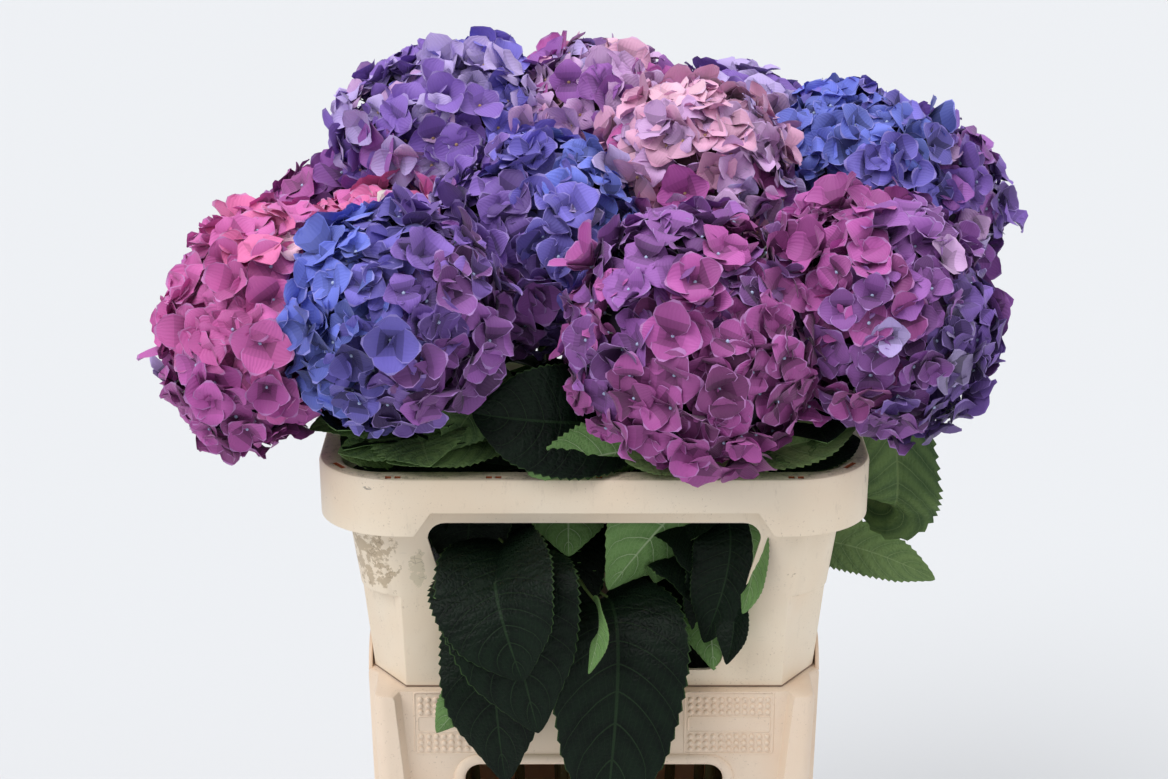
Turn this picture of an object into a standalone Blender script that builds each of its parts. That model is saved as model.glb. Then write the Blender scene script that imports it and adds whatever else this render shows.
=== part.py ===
"""Cut hydrangeas standing in a flower bucket with an extension collar.

Metres, +Z up, -Y is the front. The origin is under the middle of the bucket's flat foot.
"""
from collections import namedtuple
from math import cos, pi, radians, sin, sqrt
import random

import bmesh
import bpy
from mathutils import Vector
from mathutils.bvhtree import BVHTree

# Driving dimensions of the collar
RIM_HALF = (0.2043, 0.152)
RIM_CORNER = 0.062
RIM_TOP = 0.5386
RIM_EDGE = 0.0015
SKIRT_DEPTH = 0.0441
SKIRT_WALL = 0.0025
SKIRT_DRAFT = 0.0008
NOTCH_HEIGHT = 0.0181
NOTCH_HALF = (0.119, 0.132)
WALL = 0.003
BODY_TOP_HALF = (0.1895, 0.137)
BODY_TAPER = (0.14, 0.1145)
BODY_CORNER = 0.036
STEP_HEIGHT = 0.4382
STEP_RUN = 0.0015
STEP_CUT = (0.0314, 0.0405)
FOOT_HALF = (0.1680, 0.1139)
FOOT_CUT = (0.0263, 0.0405)
WINDOW_BOTTOM = 0.374
WINDOW_TOP = 0.4981
FRONT_WINDOW = (0.0965, 0.1225)
SIDE_WINDOW = (0.055, 0.078)
WINDOW_CORNER = 0.013
SPIGOT_HALF = (0.1510, 0.1050)
SPIGOT_DEPTH = 0.020
SPIGOT_CHAMFER = (0.022, 0.022)
WINDOW_REACH = (0.145, 0.195)
NOTCH_REACH = (0.1440, 0.1535)
CUT_SPARE = 0.001

# Driving dimensions of the bucket
BUCKET_TOP = 0.3592
SEAM = 0.0003
MOUTH_HALF = (0.1520, 0.1060)
MOUTH_CHAMFER = (0.0225, 0.0225)
FLANGE = 0.005
FLOOR = 0.004
FOOT_EDGE = 0.003
COLUMN_HALF = ((0.1660, 0.132), (0.154, 0.118))
COLUMN_ROUND = 0.0095
COLUMN_FLANK = 0.004
PANEL_HALF_WIDTH = (0.1500, 0.118)
PANEL_PLANE = (0.121, 0.104)
SIDE_HALF_WIDTH = (0.082, 0.078)
SIDE_PLANE = (0.1732, 0.164)
GRIP_RISE = 0.022
GRIP_BEVEL = (0.014, 0.012)
GRIP_INSET = (0.0002, 0.005, 0.002)
HAND_SLOT_HALF = 0.098
HAND_SLOT = (0.252, 0.297)
HAND_SLOT_ROUND = 0.012
HAND_SLOT_REACH = 0.15
MOUTH_SPARE = (0.002, 0.010)

# Stems, leaves and blooms
GAP = 0.0003
FINEST = 0.00001
NUDGE = 0.00035
TRIES = 60
FOOT_SHARE = (0.74, 0.68)
WAIST_HEIGHT = 0.480
STEM_RADIUS = (0.0046, 0.0038)
TWIG_RADIUS = (0.0037, 0.0032)
STALK = 0.026
STEM_RISE = 0.16
WAIST_BEND = 0.15
BLOOM_BEND = 0.040
TWIG_START = 0.425
LEAF_NODES = (0.470, 0.530, 0.585)
LEAF_SIZE = (0.118, 0.078)
LEAF_THICKNESS = 0.0018
PETIOLE_RADIUS = 0.0020
LEAF_STATIONS = (0.12, 0.36, 0.62, 0.86)
LEAF_EDGE_LIFT = 0.18
LEAF_CLEARANCE = 0.0010
BLOOM_CLEAR = 0.004
LEAF_SCALES = (1.0, 0.82, 0.66)
LEAF_TURNS = (0.0, 0.45, -0.45, 0.9, -0.9)
LEAF_RISES = (0.35, -0.1, 0.9, -0.6)
LEAF_START = 0.022
LEAF_DROOP = 0.7
LEAF_LOWEST = 0.392
INSIDE_COLLAR = (0.150, 0.108)
OVER_RIM = (0.215, 0.165, 0.0154)
PETIOLE_SINK = 0.14
PETIOLE_TAPER = 0.55
PATH_CLEAR = 0.012
FLORETS = 16
FLORET_RADIUS = 0.033
FLORET_SINK = 0.006
FLORET_NOTCH = 0.62
FLORET_ROOT = 0.016
FLORET_DISH = 0.001
FLORET_FOLD = 0.0045
FLORET_STAND = 0.009
FLORET_TUCK = (0.002, 0.003)
FLORET_MARGIN = (0.0004, 0.0016)
FLORET_SWAY = 0.15
FLORET_LOWEST = -0.45
FLORET_ROOM = 0.76
CORE_MARGIN = 0.0045
STALK_ROOT = 0.010
CROWDED = 2.2
BLOOM_FLOOR = 0.5445

Bloom = namedtuple("Bloom", "name centre azimuth lean radius crown under waist colour")

# Azimuth turns from the front (-Y) towards +X, and lean is away from upright, in degrees.
# The waist is where the stem passes the height of the windows
BLOOMS = (
    Bloom("far_left", (-0.240, -0.080, 0.633), -80, 65, 0.105, 0.080, 0.060, (-0.135, -0.046),
          (0.52, 0.09, 0.27)),
    Bloom("front_left", (-0.143, -0.128, 0.652), -25, 50, 0.093, 0.080, 0.055, (-0.088, -0.062),
          (0.14, 0.13, 0.55)),
    Bloom("centre", (-0.042, -0.025, 0.680), -5, 42, 0.098, 0.080, 0.060, (-0.030, -0.012),
          (0.19, 0.11, 0.42)),
    Bloom("mid_left", (-0.168, 0.008, 0.652), -70, 20, 0.090, 0.070, 0.055, (-0.128, 0.010),
          (0.52, 0.10, 0.27)),
    Bloom("back_left", (-0.115, 0.095, 0.735), -35, 20, 0.103, 0.078, 0.055, (-0.076, 0.045),
          (0.22, 0.12, 0.42)),
    Bloom("back_centre", (0.003, 0.115, 0.745), 180, 12, 0.085, 0.070, 0.055, (0.000, 0.050),
          (0.44, 0.16, 0.37)),
    Bloom("back_right", (0.110, 0.140, 0.716), 160, 14, 0.090, 0.073, 0.055, (0.080, 0.056),
          (0.20, 0.12, 0.36)),
    Bloom("centre_right", (0.078, 0.018, 0.722), 10, 30, 0.086, 0.075, 0.055, (0.042, 0.008),
          (0.55, 0.27, 0.42)),
    Bloom("right_back", (0.205, 0.090, 0.710), 50, 25, 0.085, 0.073, 0.055, (0.114, 0.036),
          (0.05, 0.09, 0.55)),
    Bloom("far_right", (0.262, 0.125, 0.680), 110, 45, 0.083, 0.073, 0.050, (0.138, 0.072),
          (0.22, 0.09, 0.40)),
    Bloom("front", (0.073, -0.128, 0.637), 8, 50, 0.107, 0.085, 0.055, (0.036, -0.062),
          (0.36, 0.07, 0.35)),
    Bloom("right", (0.205, -0.090, 0.645), 55, 50, 0.105, 0.085, 0.055, (0.118, -0.044),
          (0.32, 0.10, 0.38)),
    Bloom("rear_left", (-0.190, 0.130, 0.640), 215, 50, 0.098, 0.078, 0.055, (-0.126, 0.068),
          (0.30, 0.10, 0.42)),
    Bloom("rear_centre", (-0.045, 0.195, 0.655), 180, 50, 0.098, 0.078, 0.055, (-0.036, 0.092),
          (0.16, 0.12, 0.50)),
    Bloom("rear_right", (0.115, 0.215, 0.640), 165, 55, 0.100, 0.078, 0.055, (0.058, 0.096),
          (0.42, 0.10, 0.34)),
)

Leaf = namedtuple("Leaf", "stem height base bend tip width face")

# The leaves that show one by one: through the windows, over the rim and over the sill
SHOWN_LEAVES = (
    Leaf("front_left", 0.490, (-0.074, -0.098, 0.484), (-0.082, -0.190, 0.500), (-0.052, -0.173, 0.346),
         0.114, (0.0, -0.9, 0.45)),
    Leaf("far_left", 0.440, (-0.058, -0.092, 0.425), (-0.080, -0.168, 0.430), (-0.070, -0.146, 0.300),
         0.072, (-0.15, -0.95, 0.3)),
    Leaf("centre", 0.440, (0.008, -0.092, 0.424), (0.028, -0.174, 0.450), (0.014, -0.166, 0.272),
         0.088, (0.1, -0.9, 0.4)),
    Leaf("centre", 0.560, (-0.052, -0.070, 0.592), (-0.050, -0.125, 0.600), (-0.062, -0.158, 0.548),
         0.066, (0.0, -0.85, 0.5)),
    Leaf("right", 0.545, (0.150, -0.020, 0.556), (0.226, -0.020, 0.590), (0.228, -0.022, 0.452),
         0.070, (0.35, -0.25, 0.9)),
    Leaf("right_back", 0.470, (0.140, 0.022, 0.462), (0.200, 0.020, 0.466), (0.264, 0.014, 0.404),
         0.064, (0.2, -0.3, 0.9)),
    Leaf("front", 0.500, (0.072, -0.070, 0.512), (0.055, -0.100, 0.500), (0.002, -0.114, 0.446),
         0.066, (0.0, 0.75, 0.6)),
    Leaf("centre", 0.500, (-0.016, -0.050, 0.512), (-0.022, -0.090, 0.514), (-0.026, -0.113, 0.466),
         0.044, (0.0, 0.6, 0.8)),
    Leaf("right", 0.470, (0.100, -0.072, 0.474), (0.100, -0.104, 0.450), (0.082, -0.100, 0.386),
         0.062, (0.3, -0.9, 0.2)),
    Leaf("far_left", 0.545, (-0.128, -0.088, 0.560), (-0.130, -0.130, 0.570), (-0.118, -0.160, 0.552),
         0.080, (-0.1, -0.4, 0.9)),
    Leaf("front", 0.545, (0.052, -0.092, 0.556), (0.010, -0.120, 0.562), (-0.020, -0.146, 0.549),
         0.062, (0.0, -0.4, 0.9)),
    Leaf("right", 0.555, (0.128, -0.092, 0.556), (0.136, -0.124, 0.558), (0.150, -0.150, 0.549),
         0.064, (0.0, -0.4, 0.9)),
)


def start_empty():
    """Remove whatever the file holds."""
    for thing in list(bpy.data.objects):
        bpy.data.objects.remove(thing)


def finish_of(name, colour, roughness):
    """A plain Principled finish for one part."""
    material = bpy.data.materials.new(name + "_finish")
    material.use_nodes = True
    shader = material.node_tree.nodes["Principled BSDF"]
    shader.inputs["Base Color"].default_value = (*colour, 1.0)
    shader.inputs["Roughness"].default_value = roughness
    shader.inputs["Metallic"].default_value = 0.0
    return material


def solid(name, points, faces):
    """An object from points and faces, with every face turned outwards."""
    mesh = bpy.data.meshes.new(name)
    mesh.from_pydata([tuple(point) for point in points], [], faces)
    work = bmesh.new()
    work.from_mesh(mesh)
    bmesh.ops.recalc_face_normals(work, faces=work.faces)
    work.to_mesh(mesh)
    work.free()
    thing = bpy.data.objects.new(name, mesh)
    bpy.context.scene.collection.objects.link(thing)
    return thing


def loft(rings, ring_closed):
    """Points and faces through rings of equal count, either round again or with two flat caps."""
    count = len(rings[0])
    points = [point for ring in rings for point in ring]
    faces = []
    links = len(rings) if ring_closed else len(rings) - 1
    for link in range(links):
        low = link * count
        high = ((link + 1) % len(rings)) * count
        for k in range(count):
            following = (k + 1) % count
            faces.append((low + k, low + following, high + following, high + k))
    if not ring_closed:
        faces.append(tuple(range(count)))
        faces.append(tuple(range((len(rings) - 1) * count, len(rings) * count)))
    return points, faces


def four_corners(corner, z):
    """Repeat one corner's outline, from its +X side to its +Y side, in all four quarters."""
    back = corner[::-1]
    outline = list(corner)
    outline += [(-x, y) for x, y in back]
    outline += [(-x, -y) for x, y in corner]
    outline += [(x, -y) for x, y in back]
    return [(x, y, z) for x, y in outline]


def rounded(half, radius, z, steps=5):
    """A rectangle with round corners."""
    corner = []
    for k in range(steps + 1):
        angle = pi / 2 * k / steps
        corner.append((half[0] - radius + radius * cos(angle), half[1] - radius + radius * sin(angle)))
    return four_corners(corner, z)


def chamfered(half, size, z, steps=5):
    """A rectangle whose corners are cut off, with as many points as the rounded one."""
    corner = []
    for k in range(steps + 1):
        share = k / steps
        corner.append((half[0] - size[0] * share, half[1] - size[1] * (1 - share)))
    return four_corners(corner, z)


def wall_half(z, inset=0.0):
    """Half width and half depth of the collar's tapering wall at a height."""
    drop = RIM_TOP - z
    return smaller([top - drop * taper for top, taper in zip(BODY_TOP_HALF, BODY_TAPER)], inset)


def smaller(half, amount):
    """Both half sizes less one amount."""
    return half[0] - amount, half[1] - amount


def hide_cutter(cutter):
    """A cutter stays in the file as a guide only."""
    cutter.hide_render = True
    cutter.display_type = "WIRE"


def cut(target, cutter):
    """Take one closed shape out of another."""
    hide_cutter(cutter)
    modifier = target.modifiers.new("cut_" + cutter.name, "BOOLEAN")
    modifier.operation = "DIFFERENCE"
    modifier.solver = "EXACT"
    modifier.object = cutter


def window_outline(half_low, half_high, low, high, radius, steps=4):
    """Points of a tapering opening with round corners, as pairs of width and height."""
    corners = (
        (half_low, low, -90, -1, 1),
        (half_high, high, 0, -1, -1),
        (-half_high, high, 90, 1, -1),
        (-half_low, low, 180, 1, 1),
    )
    outline = []
    for across, up, start, side, rise in corners:
        middle = (across + side * radius, up + rise * radius)
        for k in range(steps + 1):
            angle = radians(start + 90 * k / steps)
            outline.append((middle[0] + radius * cos(angle), middle[1] + radius * sin(angle)))
    return outline


def prism_across(name, outline, near, far, along_x):
    """Push an upright outline through the wall, along Y or along X."""
    if along_x:
        rings = [[(reach, across, up) for across, up in outline] for reach in (near, far)]
    else:
        rings = [[(across, reach, up) for across, up in outline] for reach in (near, far)]
    return solid(name, *loft(rings, False))


def make_collar():
    """The extension collar: rolled rim with its skirt, tapering wall, four windows and a spigot."""
    skirt_low = RIM_TOP - SKIRT_DEPTH
    skirt_inset = SKIRT_DRAFT + SKIRT_WALL
    rim_under = RIM_TOP - SKIRT_WALL
    base = BUCKET_TOP + SEAM
    rings = [
        rounded(smaller(RIM_HALF, RIM_EDGE), RIM_CORNER - RIM_EDGE, RIM_TOP),
        rounded(RIM_HALF, RIM_CORNER, RIM_TOP - RIM_EDGE),
        rounded(smaller(RIM_HALF, SKIRT_DRAFT), RIM_CORNER - SKIRT_DRAFT, skirt_low),
        rounded(smaller(RIM_HALF, skirt_inset), RIM_CORNER - skirt_inset, skirt_low),
        rounded(smaller(RIM_HALF, SKIRT_WALL), RIM_CORNER - SKIRT_WALL, rim_under),
        rounded(wall_half(rim_under), BODY_CORNER, rim_under),
        rounded(wall_half(STEP_HEIGHT), BODY_CORNER, STEP_HEIGHT),
        chamfered(wall_half(STEP_HEIGHT - STEP_RUN), STEP_CUT, STEP_HEIGHT - STEP_RUN),
        chamfered(FOOT_HALF, FOOT_CUT, base),
        chamfered(SPIGOT_HALF, SPIGOT_CHAMFER, base),
        chamfered(smaller(SPIGOT_HALF, SKIRT_DRAFT), SPIGOT_CHAMFER, base - SPIGOT_DEPTH),
        chamfered(smaller(SPIGOT_HALF, WALL), SPIGOT_CHAMFER, base - SPIGOT_DEPTH),
        chamfered(smaller(SPIGOT_HALF, WALL), SPIGOT_CHAMFER, base + WALL),
        chamfered(smaller(FOOT_HALF, WALL), FOOT_CUT, base + 2 * WALL),
        chamfered(wall_half(STEP_HEIGHT - STEP_RUN, WALL), STEP_CUT, STEP_HEIGHT - STEP_RUN - WALL),
        rounded(wall_half(STEP_HEIGHT, WALL), BODY_CORNER, STEP_HEIGHT - WALL),
        rounded(wall_half(RIM_TOP, WALL), BODY_CORNER - WALL, RIM_TOP),
    ]
    collar = solid("collar", *loft(rings, True))
    front = window_outline(*FRONT_WINDOW, WINDOW_BOTTOM, WINDOW_TOP, WINDOW_CORNER)
    side = window_outline(*SIDE_WINDOW, WINDOW_BOTTOM, WINDOW_TOP, WINDOW_CORNER)
    cut(collar, prism_across("front_windows", front, -WINDOW_REACH[0], WINDOW_REACH[0], False))
    cut(collar, prism_across("side_windows", side, -WINDOW_REACH[1], WINDOW_REACH[1], True))
    notch_top = skirt_low + NOTCH_HEIGHT
    notch = (
        (-NOTCH_HALF[1], skirt_low - CUT_SPARE),
        (NOTCH_HALF[1], skirt_low - CUT_SPARE),
        (NOTCH_HALF[0], notch_top),
        (-NOTCH_HALF[0], notch_top),
    )
    cut(collar, prism_across("front_notch", notch, -NOTCH_REACH[1], -NOTCH_REACH[0], False))
    cut(collar, prism_across("back_notch", notch, NOTCH_REACH[0], NOTCH_REACH[1], False))
    return collar


def bucket_outline(z, inset):
    """The bucket's outline at a height: columns at the corners, sunk front, bulging sides."""
    share = 1 - z / BUCKET_TOP
    column = [top + (low - top) * share for top, low in zip(*COLUMN_HALF)]
    column = [value - inset for value in column]
    panel_half = PANEL_HALF_WIDTH[0] + (PANEL_HALF_WIDTH[1] - PANEL_HALF_WIDTH[0]) * share
    panel = PANEL_PLANE[0] + (PANEL_PLANE[1] - PANEL_PLANE[0]) * share - inset
    side_half = SIDE_HALF_WIDTH[0] + (SIDE_HALF_WIDTH[1] - SIDE_HALF_WIDTH[0]) * share - inset
    side = SIDE_PLANE[0] + (SIDE_PLANE[1] - SIDE_PLANE[0]) * share - inset
    panel_half += inset
    corner = [(side, side_half - COLUMN_FLANK), (column[0], side_half + COLUMN_FLANK)]
    for k in range(5):
        angle = pi / 2 * k / 4
        corner.append((column[0] - COLUMN_ROUND + COLUMN_ROUND * cos(angle),
                       column[1] - COLUMN_ROUND + COLUMN_ROUND * sin(angle)))
    corner.append((panel_half, column[1]))
    corner.append((panel_half - COLUMN_FLANK, panel))
    return four_corners(corner, z)


def make_bucket():
    """The bucket: corner columns, sunk panels, side grips, hand slots and an inner rim flange."""
    steps = ((0.0, FOOT_EDGE), (FOOT_EDGE, 0.0), (BUCKET_TOP, 0.0))
    shell = [bucket_outline(z, inset) for z, inset in steps]
    bucket = solid("bucket", *loft(shell, False))
    inside = [bucket_outline(FLOOR, WALL), bucket_outline(BUCKET_TOP - FLANGE, WALL)]
    cut(bucket, solid("bucket_inside", *loft(inside, False)))
    levels = (BUCKET_TOP - FLANGE - MOUTH_SPARE[0], BUCKET_TOP + MOUTH_SPARE[1])
    mouth = [chamfered(MOUTH_HALF, MOUTH_CHAMFER, z) for z in levels]
    cut(bucket, solid("bucket_mouth", *loft(mouth, False)))
    slot = window_outline(HAND_SLOT_HALF, HAND_SLOT_HALF, *HAND_SLOT, HAND_SLOT_ROUND)
    cut(bucket, prism_across("hand_slots", slot, -HAND_SLOT_REACH, HAND_SLOT_REACH, False))
    low = BUCKET_TOP - GRIP_INSET[2]
    high = BUCKET_TOP + GRIP_RISE
    half = SIDE_HALF_WIDTH[0] - GRIP_INSET[1]
    shoulder = (half - GRIP_BEVEL[0], high - GRIP_BEVEL[1])
    outline = ((-half, low), (half, low), (half, shoulder[1]), (shoulder[0], high),
               (-shoulder[0], high), (-half, shoulder[1]))
    for name, hand in (("grip_left", -1), ("grip_right", 1)):
        outer = hand * (SIDE_PLANE[0] - GRIP_INSET[0])
        inner = hand * (SIDE_PLANE[0] - WALL)
        grip = prism_across(name, outline, inner, outer, True)
        hide_cutter(grip)
        modifier = bucket.modifiers.new("join_" + name, "BOOLEAN")
        modifier.operation = "UNION"
        modifier.solver = "EXACT"
        modifier.object = grip
    return bucket


def bloom_axis(bloom):
    """The direction that a bloom faces."""
    lean = radians(bloom.lean)
    turn = radians(bloom.azimuth)
    return Vector((sin(lean) * sin(turn), -sin(lean) * cos(turn), cos(lean)))


def dome_reach(bloom, direction):
    """Distance from a bloom's middle to its domed outside along a unit direction."""
    along = direction.dot(bloom_axis(bloom))
    depth = bloom.crown if along > 0 else bloom.under
    across = max(0.0, 1 - along * along)
    return 1 / sqrt(along * along / depth ** 2 + across / bloom.radius ** 2)


def press_planes(bloom):
    """Planes where the bloom presses on its neighbours, and the one above the collar's rim."""
    middle = Vector(bloom.centre)
    planes = [(Vector((0, 0, -1)), middle.z - BLOOM_FLOOR)]
    for other in BLOOMS:
        if other is bloom:
            continue
        towards = Vector(other.centre) - middle
        apart = towards.length
        towards.normalize()
        own = dome_reach(bloom, towards)
        theirs = dome_reach(other, -towards)
        if apart < CROWDED * max(bloom.radius, other.radius):
            planes.append((towards, apart * own / (own + theirs)))
    return planes


def held_back(point, middle, planes, margin):
    """Pull a point towards the bloom's middle until it is inside every plane."""
    arm = point - middle
    share = 1.0
    for normal, distance in planes:
        outwards = arm.dot(normal)
        if outwards > distance - margin:
            share = min(share, (distance - margin) / outwards)
    return middle + arm * share


def axis_frame(axis):
    """Two directions square to an axis."""
    aside = axis.cross(Vector((0.31, 0.52, 0.79))).normalized()
    return aside, axis.cross(aside)


def floret_body(bloom, direction, roll, planes, margin):
    """A four-lobed floret: a star with raised lobes, running down to a root in the core."""
    middle = Vector(bloom.centre)
    reach = dome_reach(bloom, direction)
    seat = middle + direction * (reach - FLORET_SINK)
    limited = held_back(seat, middle, planes, margin)
    if (limited - middle).length < FLORET_ROOM * reach:
        return None
    aside, over = axis_frame(direction)
    points = [held_back(seat - direction * FLORET_DISH, middle, planes, margin + FLORET_TUCK[0])]
    for k in range(8):
        angle = roll + pi / 4 * k
        lobe = k % 2 == 0
        radius = FLORET_RADIUS * (1.0 if lobe else FLORET_NOTCH)
        spot = seat + (aside * cos(angle) + over * sin(angle)) * radius
        if not lobe:
            spot -= direction * FLORET_FOLD
        points.append(held_back(spot, middle, planes, margin if lobe else margin + FLORET_TUCK[1]))
    points.append(middle + (limited - middle) * (1 - (FLORET_ROOT + FLORET_STAND) / reach))
    faces = []
    for k in range(8):
        faces.append((0, 1 + k, 1 + (k + 1) % 8))
    for lobe in (0, 2, 4, 6):
        before = 1 + (lobe - 1) % 8
        after = 1 + (lobe + 1) % 8
        faces.append((1 + lobe, before, after))
        faces.append((9, after, before))
    return points, faces


def crosses_itself(points, faces):
    """Whether two faces of a closed shape that share no corner cut through each other."""
    tree = tree_of(points, faces)
    for one, other in tree.overlap(tree):
        if one < other and not set(faces[one]) & set(faces[other]):
            return True
    return False


def limb(points, radii, sides, first=None, last=None):
    """Points and faces of a tapering round limb along a path, its flat ends square to a way."""
    rings = []
    tangents = []
    for k, point in enumerate(points):
        before = points[max(0, k - 1)]
        after = points[min(len(points) - 1, k + 1)]
        tangents.append((after - before).normalized())
    tangents[0] = first or tangents[0]
    tangents[-1] = last or tangents[-1]
    aside = axis_frame(tangents[0])[0]
    for k, point in enumerate(points):
        aside = (aside - tangents[k] * aside.dot(tangents[k])).normalized()
        over = tangents[k].cross(aside)
        share = k / (len(points) - 1)
        radius = radii[0] + (radii[1] - radii[0]) * share
        ring = []
        for side in range(sides):
            angle = 2 * pi * side / sides
            ring.append(point + (aside * cos(angle) + over * sin(angle)) * radius)
        rings.append(ring)
    return loft(rings, False)


def drop_scraps(mesh):
    """Keep only the largest body of a mesh, in triangles, so that scraps and sealed hollows go."""
    work = bmesh.new()
    work.from_mesh(mesh)
    waiting = set(work.faces)
    bodies = []
    while waiting:
        front = [waiting.pop()]
        found = list(front)
        while front:
            for edge in front.pop().edges:
                for face in edge.link_faces:
                    if face in waiting:
                        waiting.remove(face)
                        front.append(face)
                        found.append(face)
        bodies.append(found)
    bodies.sort(key=len)
    for scrap in bodies[:-1]:
        bmesh.ops.delete(work, geom=scrap, context="FACES")
    bmesh.ops.remove_doubles(work, verts=work.verts, dist=FINEST)
    bmesh.ops.triangulate(work, faces=work.faces)
    work.to_mesh(mesh)
    work.free()


def is_sound(mesh):
    """Whether a joined body is closed, and none of its triangles is thinner than the finest size."""
    work = bmesh.new()
    work.from_mesh(mesh)
    closed = all(len(edge.link_faces) == 2 for edge in work.edges)
    thinnest = min(2 * face.calc_area() / max(edge.calc_length() for edge in face.edges)
                   for face in work.faces)
    work.free()
    return closed and thinnest > FINEST


def join_solids(body, extras):
    """Fuse a collection of closed shapes into one body, then clear the collection away."""
    group = bpy.data.collections.new(body.name + "_pieces")
    bpy.context.scene.collection.children.link(group)
    for number, (points, faces) in enumerate(extras):
        piece = solid(body.name + "_piece_" + str(number), points, faces)
        bpy.context.scene.collection.objects.unlink(piece)
        group.objects.link(piece)
    modifier = body.modifiers.new("join", "BOOLEAN")
    modifier.operation = "UNION"
    modifier.solver = "MANIFOLD"
    modifier.operand_type = "COLLECTION"
    modifier.collection = group
    view = bpy.context.evaluated_depsgraph_get()
    joined = bpy.data.meshes.new_from_object(body.evaluated_get(view))
    body.modifiers.clear()
    drop_scraps(joined)
    body.data = joined
    for piece in list(group.objects):
        bpy.data.objects.remove(piece)
    bpy.data.collections.remove(group)


def stalk_end(bloom):
    """Where the bloom's own stalk ends and the leafy stem begins."""
    return Vector(bloom.centre) - bloom_axis(bloom) * (bloom.under + STALK)


def try_bloom(bloom, seed):
    """One mophead: a smaller core with florets that stand out of it, and its stalk."""
    chance = random.Random(seed)
    middle = Vector(bloom.centre)
    planes = press_planes(bloom)
    core = bmesh.new()
    bmesh.ops.create_icosphere(core, subdivisions=2, radius=1.0)
    for vertex in core.verts:
        direction = vertex.co.normalized()
        reach = dome_reach(bloom, direction) - FLORET_STAND - FLORET_SINK
        vertex.co = held_back(middle + direction * reach, middle, planes, CORE_MARGIN)
    mesh = bpy.data.meshes.new("bloom_" + bloom.name)
    core.to_mesh(mesh)
    core.free()
    body = bpy.data.objects.new("bloom_" + bloom.name, mesh)
    bpy.context.scene.collection.objects.link(body)
    axis = bloom_axis(bloom)
    aside, over = axis_frame(axis)
    pieces = []
    for k in range(FLORETS):
        along = 1 - (1 - FLORET_LOWEST) * (k + 0.5) / FLORETS
        across = sqrt(1 - along * along)
        turn = k * pi * (3 - sqrt(5)) + chance.uniform(-FLORET_SWAY, FLORET_SWAY)
        direction = axis * along + (aside * cos(turn) + over * sin(turn)) * across
        margin = chance.uniform(*FLORET_MARGIN)
        floret = floret_body(bloom, direction, chance.uniform(0, pi / 2), planes, margin)
        if floret and not crosses_itself(*floret):
            pieces.append(floret)
    end = stalk_end(bloom) + axis * GAP
    root = middle - axis * STALK_ROOT
    pieces.append(limb([end, root], (TWIG_RADIUS[1], TWIG_RADIUS[1]), 6))
    join_solids(body, pieces)
    body.data.materials.clear()
    body.data.materials.append(finish_of(body.name, bloom.colour, 0.6))
    return body


def make_bloom(bloom, seed):
    """The first layout of a bloom's florets that fuses into a sound body."""
    for attempt in range(TRIES):
        body = try_bloom(bloom, seed + attempt * len(BLOOMS))
        if is_sound(body.data):
            return body
        bpy.data.objects.remove(body)
    raise RuntimeError("no sound body for bloom " + bloom.name)


def bow(start, start_way, end, end_way, count):
    """Points of a cubic curve that leaves one place and reaches another in given directions."""
    points = []
    for k in range(count):
        t = k / (count - 1)
        points.append(start * (1 - t) ** 3 + (start + start_way) * (3 * t * (1 - t) ** 2)
                      + (end - end_way) * (3 * t * t * (1 - t)) + end * t ** 3)
    return points


def stem_path(bloom):
    """The stem's route: up from the bucket's floor, past its waist, and over to the stalk."""
    top = stalk_end(bloom)
    waist = Vector((*bloom.waist, WAIST_HEIGHT))
    foot = Vector((bloom.waist[0] * FOOT_SHARE[0], bloom.waist[1] * FOOT_SHARE[1], FLOOR + GAP))
    lean = ((waist - foot).normalized() + (top - waist).normalized()).normalized()
    lower = bow(foot, Vector((0, 0, STEM_RISE)), waist, lean * WAIST_BEND, 16)
    upper = bow(waist, lean * BLOOM_BEND, top, bloom_axis(bloom) * BLOOM_BEND, 12)
    return lower + upper[1:]


def point_at_height(path, height):
    """The place on a rising path at a height, and the direction of the path there."""
    for low, high in zip(path, path[1:]):
        if low.z <= height <= high.z:
            share = (height - low.z) / (high.z - low.z)
            return low.lerp(high, share), (high - low).normalized()
    return path[-1].copy(), (path[-1] - path[-2]).normalized()


def split_path(bloom):
    """The path below and above the start of the leafy stretch, and the way it runs there."""
    path = stem_path(bloom)
    place, along = point_at_height(path, TWIG_START)
    lower = [point for point in path if point.z < TWIG_START - PATH_CLEAR][::3]
    upper = [point for point in path if point.z > TWIG_START + PATH_CLEAR][::2]
    upper = [point for point in upper if (point - path[-1]).length > PATH_CLEAR]
    return lower + [place - along * GAP / 2], [place + along * GAP / 2] + upper + [path[-1]], along


def make_stem(bloom):
    """The bare lower stretch of one cut stem, flat at its foot."""
    lower, _, along = split_path(bloom)
    return solid("stem_" + bloom.name, *limb(lower, STEM_RADIUS, 5, Vector((0, 0, 1)), along))


def leafy_limb(bloom):
    """The upper stretch of one stem, from its bare stretch to the bloom's stalk."""
    _, upper, along = split_path(bloom)
    return limb(upper, TWIG_RADIUS, 6, along, bloom_axis(bloom))


def leaf_width(share):
    """Half-width of an egg-shaped leaf along its rib, as a share of the widest."""
    return sin(pi * share ** 0.88) ** 0.8


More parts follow.
